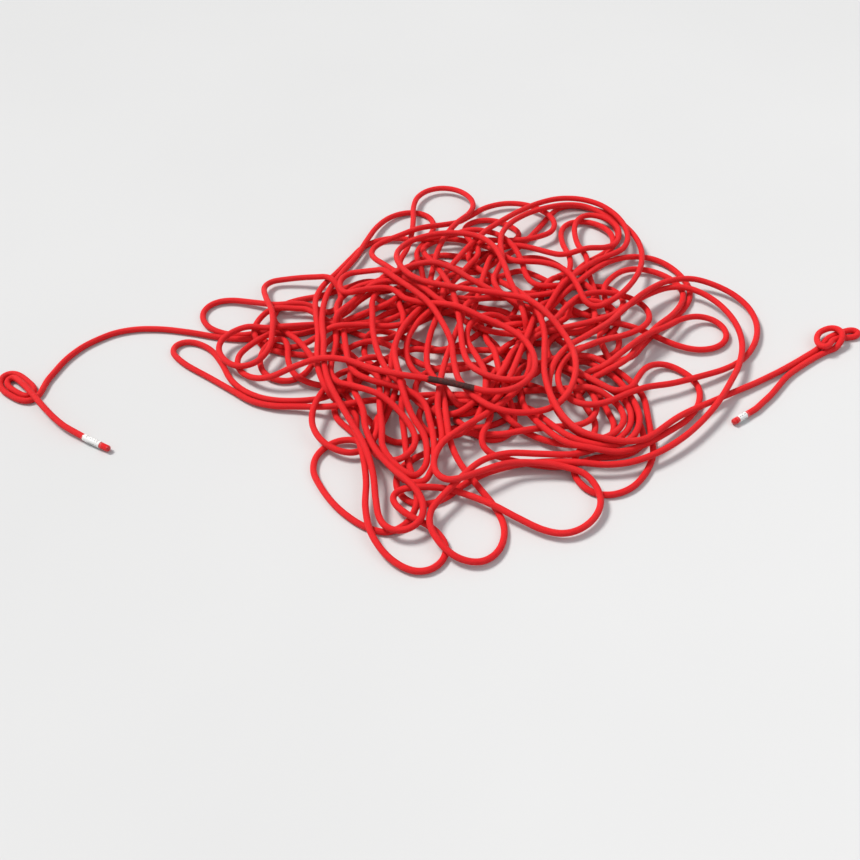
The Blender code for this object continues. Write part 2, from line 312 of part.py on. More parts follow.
    ("crown", 70, """-28.4,16.2,20 -29.6,16.7,24 -31,16.4,30 -32.6,15.3,32 -34.4,13.4,32
        -36,11.2,26 -36.6,8.9,26 -36.1,6.7,28 -34.7,5,30 -32.4,4.1,40 -29.6,4.5,50
        -26.6,5.3,56 -23.6,5.5,56 -20.6,5.4,56 -17.8,4.6,58 -14.6,2.8,58 -11,0.8,60
        -7.3,-0.3,64 -3.5,-1.2,72 0.1,-2.3,74 3.7,-3.7,74 6.1,-4.4,70 8.4,-4.3,68
        10.8,-3.3,66 12.9,-1.4,62 14,1,62 14.2,3.6,62 13.7,6.2,64 12.4,8.9,66 10.3,11.2,68
        7.5,13.2 4.6,15.2 1.7,17.3 -1.5,18.9 -4.6,20.1,68 -6.9,21,66 -8.2,22.7,62
        -9.5,24.3,60 -11.4,24.9,58 -13.6,24.5,54 -15.6,23.8,50 -17.2,23.8,50 -18.4,24.9,50
        -19,26.9,48 -18.7,29,46 -17.3,30.3,46 -15,30.4,48 -12.9,30.1,50 -11,29.3,56
        -9.6,27.7,58 -7.7,25.3,60 -5.6,23,64 -3.8,20.9,68 -2.4,18.4,75 -1.3,15.8,75
        -0.3,12.6,72 0.5,9.4,68 0.9,6,66 0.9,2.8,64 1.5,-0.2,62 2.6,-2.4,62 4.2,-4.7,62
        6.1,-6.7,62 8.4,-7.9,62 10.9,-8.2,60 13.5,-8,58 16.1,-7.1,56 18.2,-5.3,56
        19.8,-2.7,56 20.8,0.4,58 21.1,3.6,60 20.5,6.9,62 19.3,10,64 17.7,13,70 15.5,16.4,76
        13,18.5,76 10.3,19.6,76 7,20.7,74 3.5,21.9,70 0.3,22.9,68 -2.6,23.9,66 -5.2,25.3,68
        -7.1,27.6,68 -8.2,30.2,70 -8.5,32.4,68 -8,34.6,64 -6.6,36.7,60 -4.6,38.3,60
        -2.2,39.4,62 0.4,39.9,64 3,39.7,64 5.5,39.1,62 7.8,37.6,60 9.4,35.5,62 10.5,33,64
        11.2,30.2,66 11.9,27.1,66 12.7,23.9,66 13.7,20.9,64 14.5,18,60 15,15.2,50"""),
]
# The two ends of the rope, each from its tip inward to the heap: rank, points
END_A = (2, """-55.7,-11.3,40 -57.7,-10,40 -60.3,-8.3,40 -63.5,-6,40 -66.1,-3.5,44
    -68.4,-0.4,50 -70,1.8,60 -71.2,3.5,70 -72.5,4.9,66 -73.5,6,58 -74.4,6.8,56 -75.4,6.9,55
    -76.1,6.1,54 -75.9,5,54 -74.9,3.9,54 -73.4,2.8,54 -72,2.1,50 -71,2.9,40 -71.3,4.4,36
    -72.5,5.6,34 -74,7,32 -75.4,7.9,34 -76.8,7.6,36 -77.3,6.1,38 -76.4,4,38 -74.4,2.2,38
    -72.9,1.2,34 -71.3,0.9,26 -70.1,1.8,18 -69.6,3.5,14 -69.2,5.6,12 -68.1,9,10 -66.1,12.6
    -63.3,15.7 -59.8,17.9 -55.8,18.9 -51,18.6 -47,17.7 -43.5,16.7 -40,15.5,6 -37,14.8,6
    -34.4,14.7,6 -32.2,13.7,8 -30.4,12.3,12 -28,11.6,16 -25.5,12.1,18 -23.2,13.4,20
    -21,14.7,24 -18.2,15.3,30 -15,15.1,34 -12.2,14.6,36 -9,14.2,34 -6.6,14.9,30 -4.4,17,26
    -2,18.8,22""")
END_B = (20, """45.7,-10.3,20 47.3,-9.2,20 49,-8.1,20 51.2,-6.4,20 53,-4.5,20 54.4,-2.7,20
    55.6,-1 57.2,0.7 59,2.2 61.2,3.8 63.2,5.3 64.8,6.2,30 66.1,6.7,40 67.2,7.6,50 68,8.9,56
    68.4,10.4,60 68.2,11.7,60 67.2,12.1,56 66.1,11.7,50 65,11.1,44 64.1,9.9,40 63.8,8.4,40
    64.2,7.2,40 65.2,6.9,36 66.2,7.8,30 67.1,8.8,24 68.3,9.3,20 69.6,9.5,18 71.1,9.8,18
    72,10.7,18 71.1,11.6,18 69.7,11.3,18 68.2,10.8,14 66.7,10,12 65.5,8.7,12 64.5,7.5,10
    63,6.3 61.4,5.1 59.4,3.8 57.4,2.4 55.3,1 52.6,-0.6 50,-1.9 47.6,-3.1,26 44.4,-4.7,44
    41.3,-6.2,44 38.3,-7.7,40 35.6,-9.3,40 33.3,-11.4,44 31.1,-13.4,48 28.5,-14.4,48
    25.6,-14.5,50 22.8,-13.9,54 20.2,-12.7,58 18.2,-10.6,60 16.8,-7.8,64 16,-4.8,66
    15.6,-1.8,66 15.6,1.4,66 15.9,4.6,66 16.2,7.8,66 16.3,11,64 15.8,14.2,56 14.8,17.2,44
    13.4,20,34""")


# ----------------------------------------------------------- lines and stations
def cumulate(steps):
    return np.concatenate([[0], np.cumsum(steps)])


def plan_steps(points):
    """Length in plan of each step between neighbouring points."""
    return np.hypot(*np.diff(points[:, :2], axis=0).T)


class Line:
    """Rows of points with their stations: by default the length run in space."""

    def __init__(self, points, stations=None):
        self.points = points
        if stations is None:
            stations = cumulate(np.sqrt((np.diff(points, axis=0) ** 2).sum(1)))
        self.stations = stations
        self.length = stations[-1]

    def at(self, station):
        return np.array([np.interp(station, self.stations, column) for column in self.points.T])

    def sample(self, stations):
        return np.column_stack([np.interp(stations, self.stations, column)
                                for column in self.points.T])

    def piece(self, low, high):
        """The points between two stations, with new points at both."""
        inside = (self.stations > low + 1e-5) & (self.stations < high - 1e-5)
        return np.vstack([self.at(low), self.points[inside], self.at(high)])

    def find(self, plan_point, low, high, lowest=-1.0):
        """Station nearest to a drawn point, where the third column reaches lowest."""
        stations = np.linspace(low, high, 9000)
        points = self.sample(stations)
        distance = np.hypot(points[:, 0] - plan_point[0] * UNIT,
                            points[:, 1] - plan_point[1] * UNIT)
        return float(stations[np.argmin(distance + (points[:, 2] < lowest))])

    def refind(self, point, station):
        """Station nearest to a point in space, close to its former station."""
        stations = np.linspace(station - 0.03, station + 0.03, 1201)
        points = self.sample(stations)
        return float(stations[np.argmin(((points - point) ** 2).sum(1))])


# ----------------------------------------------------------- the route
def parse(rank, text):
    """Rows of x, y in metres and rank."""
    rows = []
    for token in text.split():
        values = [float(part) for part in token.split(",")]
        point_rank = values[2] if len(values) > 2 else float(rank)
        rows.append((values[0] * UNIT, values[1] * UNIT, point_rank))
    return np.array(rows)


def spline(knots):
    """Centripetal Catmull-Rom curve through the knots (any number of columns)."""
    padded = np.vstack([2 * knots[0] - knots[1], knots, 2 * knots[-1] - knots[-2]])
    out = []
    for i in range(1, len(padded) - 2):
        q = padded[i - 1:i + 3]
        gaps = [max(math.sqrt(math.hypot(*(q[k + 1, :2] - q[k, :2]))), 1e-4) for k in range(3)]
        t0, t1 = 0.0, gaps[0]
        t2 = t1 + gaps[1]
        t3 = t2 + gaps[2]
        count = max(2, int(math.ceil(math.hypot(*(q[2, :2] - q[1, :2])) / SPLINE_STEP)))
        t = np.linspace(t1, t2, count, endpoint=False)[:, None]

        def blend(start, end, first, second):
            return (end - t) / (end - start) * first + (t - start) / (end - start) * second
        a1 = blend(t0, t1, q[0], q[1])
        a2 = blend(t1, t2, q[1], q[2])
        a3 = blend(t2, t3, q[2], q[3])
        b1 = blend(t0, t2, a1, a2)
        b2 = blend(t1, t3, a2, a3)
        out.append(blend(t1, t2, b1, b2))
    out.append(knots[-1:])
    return np.vstack(out)


def shortest_turn(x0, y0, heading0, x1, y1, heading1):
    """Shortest arc-line-arc route between two headings.

    Returns its length and (first arc, line, last arc, first sense, last sense),
    all in turn radii or radians; a sense is 1 to the left and -1 to the right.
    """
    dx, dy = (x1 - x0) / TURN_R, (y1 - y0) / TURN_R
    d = math.hypot(dx, dy)
    bearing = math.atan2(dy, dx)
    tau = 2 * math.pi
    a, b = (heading0 - bearing) % tau, (heading1 - bearing) % tau
    sin_a, sin_b, cos_a, cos_b = math.sin(a), math.sin(b), math.cos(a), math.cos(b)
    cos_ab = math.cos(a - b)
    routes = []

    def keep(first, line, last, first_sense, last_sense):
        total = (first % tau) + line + (last % tau)
        routes.append((total, (first % tau, line, last % tau, first_sense, last_sense)))
    # left, left
    square = 2 + d * d - 2 * cos_ab + 2 * d * (sin_a - sin_b)
    if square >= 0:
        g = math.atan2(cos_b - cos_a, d + sin_a - sin_b)
        keep(g - a, math.sqrt(square), b - g, 1, 1)
    # right, right
    square = 2 + d * d - 2 * cos_ab + 2 * d * (sin_b - sin_a)
    if square >= 0:
        g = math.atan2(cos_a - cos_b, d - sin_a + sin_b)
        keep(a - g, math.sqrt(square), g - b, -1, -1)
    # left, right
    square = -2 + d * d + 2 * cos_ab + 2 * d * (sin_a + sin_b)
    if square >= 0:
        line = math.sqrt(square)
        g = math.atan2(-cos_a - cos_b, d + sin_a + sin_b) - math.atan2(-2.0, line)
        keep(g - a, line, g - b, 1, -1)
    # right, left
    square = -2 + d * d + 2 * cos_ab - 2 * d * (sin_a + sin_b)
    if square >= 0:
        line = math.sqrt(square)
        g = math.atan2(cos_a + cos_b, d - sin_a - sin_b) - math.atan2(2.0, line)
        keep(a - g, line, b - g, -1, 1)
    total, arcs = min(routes, key=lambda route: route[0])
    return total * TURN_R, arcs


def trace(x, y, heading, arcs):
    """Points along an arc-line-arc route, without its first."""
    first, line, last, first_sense, last_sense = arcs
    out = []
    for length, sense in ((first, first_sense), (line, 0), (last, last_sense)):
        count = max(1, int(math.ceil(length * TURN_R / TURN_STEP)))
        step = length * TURN_R / count
        for _ in range(count):
            if sense:
                turned = heading + sense * step / TURN_R
                x += TURN_R * sense * (math.sin(turned) - math.sin(heading))
                y -= TURN_R * sense * (math.cos(turned) - math.cos(heading))
                heading = turned
            else:
                x += step * math.cos(heading)
                y += step * math.sin(heading)
            out.append((x, y))
    return np.array(out)


def hidden_turn(before, after):
    """Length and points of the turn from the end of one curve to the start of another."""
    def heading(first, second):
        return math.atan2(second[1] - first[1], second[0] - first[0])
    leaving = heading(before[-5], before[-1])
    length, arcs = shortest_turn(before[-1, 0], before[-1, 1], leaving,
                                 after[0, 0], after[0, 1], heading(after[0], after[4]))
    return length, trace(before[-1, 0], before[-1, 1], leaving, arcs)


def outside(points):
    """How much of a hidden turn would show outside the thick of the heap (m)."""
    q = (((points[:, 0] - THICK_C[0]) / THICK_A[0]) ** 2
         + ((points[:, 1] - THICK_C[1]) / THICK_A[1]) ** 2)
    return float(np.sum(np.clip(q - 1, 0, 2))) * TURN_STEP


def port(k, flip):
    """Place of lay k, as drawn (0) or reversed (1), in the list of curves."""
    return 1 + 2 * k + flip


def turned(piece):
    return [(k, 1 - flip) for k, flip in piece[::-1]]


def moved(sequence, i, width):
    """Every order in which the piece at i is moved elsewhere, as is and turned."""
    piece = sequence[i:i + width]
    if len(piece) < width:
        return
    rest = sequence[:i] + sequence[i + width:]
    for j in range(len(rest) + 1):
        for inserted in (piece, turned(piece)):
            yield rest[:j] + inserted + rest[j:]


def order_lays(curves, lengths, crown):
    """Order and direction of the lays that make the hidden turns short and hidden."""
    lay_n, curve_n = len(lengths), len(curves)
    cost = np.full((curve_n, curve_n), UNJOINED)
    for i in range(curve_n - 1):
        for j in range(1, curve_n):
            if i and (j - 1) // 2 == (i - 1) // 2:
                continue
            length, points = hidden_turn(curves[i], curves[j])
            cost[i, j] = length + SHOW_COST * outside(points)
    total = lengths.sum()

    def evaluate(sequence):
        ports = [0] + [port(k, flip) for k, flip in sequence] + [curve_n - 1]
        turns = float(cost[ports[:-1], ports[1:]].sum())
        before_mark = 0.0
        for k, flip in sequence:
            if k == crown:
                before_mark += MARK_SHARE[flip] * lengths[k]
                break
            before_mark += lengths[k]
        return turns + MARK_COST * max(0.0, abs(before_mark / total - 0.5) - MARK_SLACK)

    # nearest free end first, with the crown put in halfway
    left = set(range(lay_n)) - {crown}
    sequence, current = [], 0

    def nearest(choices):
        return min(choices, key=lambda choice: cost[current, port(*choice)])
    while left:
        if len(sequence) == lay_n // 2:
            sequence.append(nearest([(crown, 0), (crown, 1)]))
            current = port(*sequence[-1])
        choice = nearest([(k, flip) for k in sorted(left) for flip in (0, 1)])
        sequence.append(choice)
        left.discard(choice[0])
        current = port(*choice)

    # then turn and move pieces of the order while that helps
    best = evaluate(sequence)
    improved = True
    while improved:
        improved = False
        for i in range(lay_n):
            for j in range(i, lay_n):
                new = sequence[:i] + turned(sequence[i:j + 1]) + sequence[j + 1:]
                value = evaluate(new)
                if value < best - LEAST_GAIN:
                    sequence, best, improved = new, value, True
            for width in (1, 2, 3):
                for new in moved(sequence, i, width):
                    value = evaluate(new)
                    if value < best - LEAST_GAIN:
                        sequence, best, improved = new, value, True
                        break
    return sequence


def build_route():
    """The whole rope as drawn, from tip a to tip b: rows of x, y and rank."""
    lays = [spline(parse(rank, text)) for _, rank, text in LAYS]
    crown = [name for name, _, _ in LAYS].index("crown")
    lengths = np.array([float(np.sum(plan_steps(lay))) for lay in lays])
    curves = [spline(parse(*END_A))]
    for lay in lays:
        curves += [lay, lay[::-1]]
    curves.append(spline(parse(*END_B))[::-1])
    sequence = order_lays(curves, lengths, crown)
    parts = [curves[0]]
    for after in [curves[port(k, flip)] for k, flip in sequence] + [curves[-1]]:
        before = parts[-1]
        length, points = hidden_turn(before, after)
        t = np.linspace(0, 1, len(points) + 1)[1:]
        rank0, rank1 = before[-1, 2], after[0, 2]
        dip = TURN_DIP * np.sin(math.pi * t) * min(1.0, length / TURN_FULL)
        rank = rank0 + (rank1 - rank0) * t - dip
        parts.append(np.column_stack([points, rank])[:-1])
        parts.append(after)
    return np.vstack(parts)


def fair(route):
    """Even spacing and a light smoothing of the whole route."""
    line = Line(route, cumulate(plan_steps(route)))
    even = line.sample(np.linspace(0, line.length, int(line.length / FAIR_STEP)))
    for _ in range(3):
        even[1:-1, :2] = 0.25 * even[:-2, :2] + 0.5 * even[1:-1, :2] + 0.25 * even[2:, :2]
    return even


def chord_nodes(even):
    """Resample the even route with a spacing that follows its curvature."""
    lag = 3         # steps over which a heading is taken
    spread = 5      # steps each way over which the sharpest bend counts
    chords = even[lag:, :2] - even[:-lag, :2]
    headings = np.unwrap(np.arctan2(chords[:, 1], chords[:, 0]))
    bend = np.abs(headings[lag:] - headings[:-lag]) / (lag * FAIR_STEP)
    bend = np.concatenate([np.full(lag, bend[0]), bend,
                           np.full(len(even) - len(bend) - lag, bend[-1])])
    padded = np.pad(bend, spread, mode="edge")
    bend = np.max(np.stack([padded[i:i + len(bend)] for i in range(2 * spread + 1)]), axis=0)
    radius = 1 / np.maximum(bend, 1e-3)
    longest = np.minimum(np.sqrt(8 * radius * SAG), STEP_PER_RADIUS * radius)
    density = 1 / np.clip(longest, STEP_MIN, STEP_MAX)
    count = cumulate(0.5 * (density[1:] + density[:-1]) * FAIR_STEP)
    chord_n = int(math.ceil(count[-1]))
    index = np.arange(len(even))
    where = np.interp(np.linspace(0, count[-1], chord_n + 1), count, index)
    return Line(even, index).sample(where)


# ----------------------------------------------------------- letting the rope down
NEED = 2 * ROPE_R + CLEAR    # least distance between two centre lines
ROUNDS = 420
SETTLE_FROM = ROUNDS * 0.72  # after this round the rope sinks no more
LAST_FROM = ROUNDS - 30      # after this round lays are only parted
PAIRS_EVERY = 8              # rounds between searches for near pairs
PAIR_MARGIN = 0.006          # extra reach of that search
PAIR_SKIP = 0.026            # rope between two segments that are let alone
RANK_RISE = 0.0009           # starting height per rank
FLOOR_RANK = 2               # ranks up to this start on the floor
SINK = 0.0006                # first round's sinking, fading to none
LEAN_MAX = 0.02              # most that height may shift a drawn y
LEAN_RANK = 12               # rank scale over which that shift comes in
PART_GAIN = 1.25             # over-correction when parting a pair


def dome(x, y):
    q = ((x - DOME_C[0]) / DOME_A[0]) ** 2 + ((y - DOME_C[1]) / DOME_A[1]) ** 2
    return DOME_0 + DOME_H * np.clip(1 - q, 0, 1) ** 0.7


def near_pairs(points, reach, skip):
    """Segment pairs that come within reach of each other in plan."""
    middle = (points[:-1, :2] + points[1:, :2]) / 2
    steps = plan_steps(points)
    half = steps / 2
    run = cumulate(steps)
    run_middle = (run[:-1] + run[1:]) / 2
    firsts, seconds = [], []
    for i in range(len(middle) - 2):
        later = slice(i + 2, None)
        distance = np.hypot(middle[later, 0] - middle[i, 0], middle[later, 1] - middle[i, 1])
        between = run_middle[later] - run_middle[i] - half[later] - half[i]
        near = (distance < half[i] + half[later] + reach) & (between > skip)
        j = np.nonzero(near)[0] + i + 2
        firsts.append(np.full(len(j), i))
        seconds.append(j)
    return np.concatenate(firsts), np.concatenate(seconds)


def closest(points, firsts, seconds):
    """Closest points of segment pairs: share along each, offset and distance."""
    p, q = points[firsts], points[seconds]
    u, v = points[firsts + 1] - p, points[seconds + 1] - q
    w = p - q
    uu = np.einsum("ij,ij->i", u, u)
    uv = np.einsum("ij,ij->i", u, v)
    vv = np.einsum("ij,ij->i", v, v)
    uw = np.einsum("ij,ij->i", u, w)
    vw = np.einsum("ij,ij->i", v, w)
    det = np.maximum(uu * vv - uv * uv, 1e-18)
    s = np.clip((uv * vw - vv * uw) / det, 0, 1)
    t = np.clip((uv * s + vw) / np.maximum(vv, 1e-18), 0, 1)
    s = np.clip((uv * t - uw) / np.maximum(uu, 1e-18), 0, 1)
    offset = w + u * s[:, None] - v * t[:, None]
    return s, t, offset, np.sqrt(np.einsum("ij,ij->i", offset, offset))


def part(points, firsts, seconds):
    """Part every pair that is too close, along its shortest line; False if none is."""
    s, t, offset, distance = closest(points, firsts, seconds)
    lack = NEED - distance
    close = lack > 0
    if not close.any():
        return False
    i, j, s, t = firsts[close], seconds[close], s[close], t[close]
    offset, distance, lack = offset[close], distance[close], lack[close]
    normal = offset / np.maximum(distance, 1e-9)[:, None]
    normal[distance < 1e-5] = (0, 0, 1)
    s0, t0 = 1 - s, 1 - t
    share = s0 * s0 + s * s + t0 * t0 + t * t
    push = (lack / share)[:, None] * normal
    count = len(points)
    moves = np.zeros((count, 3))
    weights = np.zeros(count)
    for index, weight, sign in ((i, s0, 1), (i + 1, s, 1), (j, t0, -1), (j + 1, t, -1)):
        for axis in range(3):
            moves[:, axis] += np.bincount(index, sign * weight * push[:, axis], count)
        weights += np.bincount(index, weight, count)
    points += moves / np.maximum(weights, 1.0)[:, None] * PART_GAIN
    return True


def lay_down(nodes):
    """Rest the route on itself.

    The nodes hold x, y as drawn and rank.  Starting from heights in rank order,
    the lays sink until each one bears on the lays below it.  The drawn y is
    corrected for height as the heights become known.
    """
    drawn_x, drawn_y, rank = nodes[:, 0], nodes[:, 1], nodes[:, 2]
    steps = plan_steps(nodes)
    run = cumulate(steps)
    from_tip = np.minimum(run, run[-1] - run)
    floor = np.interp(from_tip, [END_RUN, END_RUN + END_SLOPE_RUN], [END_LIFT, REST])
    start = floor + RANK_RISE * np.maximum(rank - FLOOR_RANK, 0)
    points = np.column_stack([drawn_x, drawn_y, start])
    lean = 1 - np.exp(-np.maximum(rank, 0) / LEAN_RANK)
    before, after = steps[:-1], steps[1:]
    for i in range(ROUNDS):
        if i % PAIRS_EVERY == 0:
            firsts, seconds = near_pairs(points, NEED + PAIR_MARGIN, PAIR_SKIP)
        # pull back to the drawing, smoothing along the rope, passes of parting
        if i > LAST_FROM:
            pull, smoothing, passes = 0.0, 0.0, 4
        elif i > SETTLE_FROM:
            pull, smoothing, passes = 0.02, 0.10, 4
        else:
            pull, smoothing, passes = 0.08, 0.22, 3
            points[:, 2] -= SINK * (1 - i / ROUNDS)
        # stiffness: offsets from the drawing and climbs vary smoothly along the rope
        above = points[:, 2] - ROPE_R - dome(points[:, 0], points[:, 1]) + DOME_0
        goal_y = drawn_y - np.clip(above, -LEAN_MAX, LEAN_MAX) * lean
        offset = np.column_stack([points[:, 0] - drawn_x, points[:, 1] - goal_y, points[:, 2]])
        middle = ((offset[:-2] * after[:, None] + offset[2:] * before[:, None])
                  / (before + after)[:, None])
        smooth = offset.copy()
        smooth[1:-1] += smoothing * (middle - offset[1:-1])
        points[:, 0] = drawn_x + smooth[:, 0] * (1 - pull)
        points[:, 1] = goal_y + smooth[:, 1] * (1 - pull)
        points[:, 2] = smooth[:, 2]
        for _ in range(passes):
            if not part(points, firsts, seconds):
                break
            points[:, 2] = np.maximum(points[:, 2], floor)
    return points


# ----------------------------------------------------------- cuts
def straighten(line, cuts):
    """Lay one straight chord through every cut so the butting faces are parallel."""
    s = line.stations
    reach = CUT_HALF + CUT_KEEP_OFF
    kept = np.ones(len(line.points), bool)
    for cut in cuts:
        kept &= ~((s > cut - CUT_HALF - CUT_KEEP_OFF) & (s < cut + reach))
    rows = [(s[i], tuple(line.points[i])) for i in np.nonzero(kept)[0]]
    rows += [(cut + offset, tuple(line.at(cut + offset)))
             for cut in cuts for offset in (-CUT_HALF, CUT_HALF)]
    return Line(np.array([point for _, point in sorted(rows)]))


def resting_rope():
    """The resting line about the origin, and its cuts from tip a to tip b."""
    nodes = chord_nodes(fair(build_route()))
    rope = Line(lay_down(nodes))
    drawn = Line(nodes, rope.stations)
    length = rope.length
    # each search is held to the stretch of rope where its point lies (m from tip a)
    cuts = [rope.find(point, 0, 0.35) for point in TAIL_A[::-1]]
    cuts += [rope.find(point, 0.40, 1.4) for point in BENDS_A[::-1]]
    cuts += sorted(drawn.find(point, 0.3 * length, 0.7 * length, MARK_RANK) for point in MARK)
    cuts += [rope.find(point, length - 1.2, length - 0.36) for point in BENDS_B]
    cuts += [rope.find(point, length - 0.30, length) for point in TAIL_B]
    cut_points = [rope.at(cut) for cut in cuts]
    rope = straighten(rope, cuts)
    # stations shift a little when chords replace arcs
    cuts = [rope.refind(point, cut) for point, cut in zip(cut_points, cuts)]
    low = (rope.points[:, :2] - ROPE_R).min(0)
    high = (rope.points[:, :2] + ROPE_R).max(0)
    shift = np.array([-(low[0] + high[0]) / 2, -(low[1] + high[1]) / 2, 0.0])
    return Line(rope.points + shift, rope.stations), cuts


# ----------------------------------------------------------- bodies
def tube(coll, name, points, radius, origin, bevel, caps=True, radii=None, band=0.0):
    """One swept body with its object origin at origin; a band is an upright strip."""
    curve = bpy.data.curves.new(name, "CURVE")
    curve.dimensions = "3D"
    curve.twist_mode = "Z_UP"
    curve.bevel_depth = radius
    curve.extrude = band
    curve.bevel_resolution = bevel
    curve.use_fill_caps = caps
    path = curve.splines.new("POLY")
    path.points.add(len(points) - 1)
    for k, point in enumerate(points):
        x, y, z = np.asarray(point) - origin
        path.points[k].co = (x, y, z, 1.0)
        if radii is not None:
            path.points[k].radius = radii[k]
    swept = bpy.data.objects.new(name, curve)
    coll.objects.link(swept)
    bpy.context.view_layer.update()
    depsgraph = bpy.context.evaluated_depsgraph_get()
    mesh = bpy.data.meshes.new_from_object(swept.evaluated_get(depsgraph))
    bpy.data.objects.remove(swept)
    bpy.data.curves.remove(curve)
    bm = bmesh.new()
    bm.from_mesh(mesh)
    bmesh.ops.remove_doubles(bm, verts=bm.verts, dist=1e-5)
    bmesh.ops.recalc_face_normals(bm, faces=bm.faces)
    bm.to_mesh(mesh)
    bm.free()
    mesh.name = name
    ob = bpy.data.objects.new(name, mesh)
    ob.location = origin
    coll.objects.link(ob)
    return ob


def add_wall(ob, thickness):
    """Give an open tube its wall, inward."""
    wall = ob.modifiers.new("wall", "SOLIDIFY")
    wall.thickness = thickness
    wall.offset = -1
    wall.use_even_offset = True
    wall.use_rim = True


def paint(ob, colour, roughness, sheen=0.0, transmission=None, alpha=1.0):
    material = bpy.data.materials.new(ob.name)
    material.use_nodes = True
    inputs = material.node_tree.nodes["Principled BSDF"].inputs
    inputs["Base Color"].default_value = (*colour, 1.0)
    inputs["Roughness"].default_value = roughness
    inputs["Sheen Weight"].default_value = sheen
    if transmission is not None:
        inputs["Transmission Weight"].default_value = transmission
        inputs["Alpha"].default_value = alpha
    material.diffuse_color = (*colour, alpha)
    ob.data.materials.append(material)


def rope_run(coll, name, points, origin, finish=SHEATH_FINISH):
    paint(tube(coll, name, points, ROPE_R, origin, ROPE_BEVEL), **finish)


def open_tube(coll, name, points, radius, thickness, origin, finish):
    ob = tube(coll, name, points, radius, origin, FITTING_BEVEL, caps=False)
    add_wall(ob, thickness)
    paint(ob, **finish)


def fused_tip(coll, side, line, origin):
    direction = (line.points[-1] - line.points[-2])
    direction = direction / np.linalg.norm(direction)
    start = line.at(line.length - TIP_L + BUTT_GAP)
    span = TIP_L - BUTT_GAP
    points = [start + direction * span * share for share, _ in TIP_PROFILE]
    radii = [radius for _, radius in TIP_PROFILE]
    ob = tube(coll, "tip_" + side, points, ROPE_R, origin, FITTING_BEVEL, radii=radii)
    paint(ob, **TIP_FINISH)


def label_and_sleeve(coll, side, line, origin):
    label_at, label_length = LABELS[side]
    high = line.length - label_at
    low = high - label_length
    open_tube(coll, "label_" + side, line.piece(low, high),
              LABEL_R, LABEL_T, origin, LABEL_FINISH)
    open_tube(coll, "sleeve_" + side, line.piece(low - SLEEVE_OVER, high + SLEEVE_OVER),
              SLEEVE_R, SLEEVE_T, origin, SLEEVE_FINISH)


def frames(points):
    """Level side direction and upward direction across a line."""
    along = np.gradient(points, axis=0)
    along /= np.linalg.norm(along, axis=1)[:, None]
    across = np.cross(along, (0, 0, 1.0))
    across /= np.linalg.norm(across, axis=1)[:, None]
    return across, np.cross(across, along)


def core_and_tape(coll, side, body, line_length, origin):
    """One middle strand, the others turning round it, and the tape beside them."""
    sheath_length = line_length - TIP_L
    stations = np.linspace(CORE_INSET, sheath_length - CORE_INSET,
                           int(sheath_length / CORE_STEP))
    middle = Line(body).sample(stations)
    across, up = frames(middle)

    def strand(name, points, radius):
        paint(tube(coll, name, points, radius, origin, STRAND_BEVEL), **CORE_FINISH)
    strand("core_%s_mid" % side, middle, CORE_MID_R)
    for k in range(CORE_N):
        angle = 2 * math.pi * (stations / CORE_LAY + k / CORE_N)
        around = np.cos(angle)[:, None] * across + np.sin(angle)[:, None] * up
        strand("core_%s_%d" % (side, k + 1), middle + CORE_PITCH * around, CORE_R)
    # tracer tape, upright beside the sheath's side wall
    tape = tube(coll, "tape_" + side, middle + across * TAPE_AT, 0.0, origin, STRAND_BEVEL,
                caps=False, band=TAPE_W / 2)
    add_wall(tape, TAPE_T)
    paint(tape, **TAPE_FINISH)


def end_fittings(coll, side, line, origin):
    """Everything beyond the last joint; the line runs from that joint to the tip."""
    body = line.piece(0, line.length - TIP_L)
    open_tube(coll, "sheath_" + side, body, ROPE_R, SHEATH_T, origin, SHEATH_FINISH)
    fused_tip(coll, side, line, origin)
    label_and_sleeve(coll, side, line, origin)
    core_and_tape(coll, side, body, line.length, origin)


def heap(coll, rope, inner_a, mark, inner_b):
    """The two long runs with the middle mark between them."""
    hinge, butt = HINGE_GAP / 2, BUTT_GAP / 2
    origin = np.zeros(3)
    rope_run(coll, "rope_run_a", rope.piece(inner_a + hinge, mark[0] - butt), origin)
    rope_run(coll, "middle_mark", rope.piece(mark[0] + butt, mark[1] - butt), origin,
             MARK_FINISH)
    rope_run(coll, "rope_run_b", rope.piece(mark[1] + butt, inner_b - hinge), origin)


def tied_end(coll, rope, side, names, joints):
    """Links between the joints, heap outward, each with its origin at its inner joint."""
    hinge = HINGE_GAP / 2
    for name, inner, outer in zip(names, joints[:-1], joints[1:]):
        low, high = sorted((inner, outer))
        rope_run(coll, name, rope.piece(low + hinge, high - hinge), rope.at(inner))
    last = joints[-1]
    low, high = (0, last - hinge) if side == "a" else (last + hinge, rope.length)
    count = max(2, int(round((high - low) / FITTING_STEP)) + 1)
    points = rope.sample(np.linspace(low, high, count))
    if side == "a":
        points = points[::-1]
    end_fittings(coll, side, Line(points), rope.at(last))


def main():
    for ob in list(bpy.data.objects):
        bpy.data.objects.remove(ob)
    coll = bpy.data.collections.new("dynamic_climbing_rope")
    bpy.context.scene.collection.children.link(coll)
    rope, cuts = resting_rope()
    a_n = len(TAIL_A) + len(BENDS_A)
    joints_a = cuts[:a_n][::-1]
    mark = cuts[a_n:a_n + 2]
    joints_b = cuts[a_n + 2:]
    heap(coll, rope, joints_a[0], mark, joints_b[0])
    tied_end(coll, rope, "a", ["line_a1", "line_a2", "line_a3", "knot_a", "tail_a"], joints_a)
    tied_end(coll, rope, "b", ["line_b1", "line_b2", "knot_b", "tail_b"], joints_b)


main()
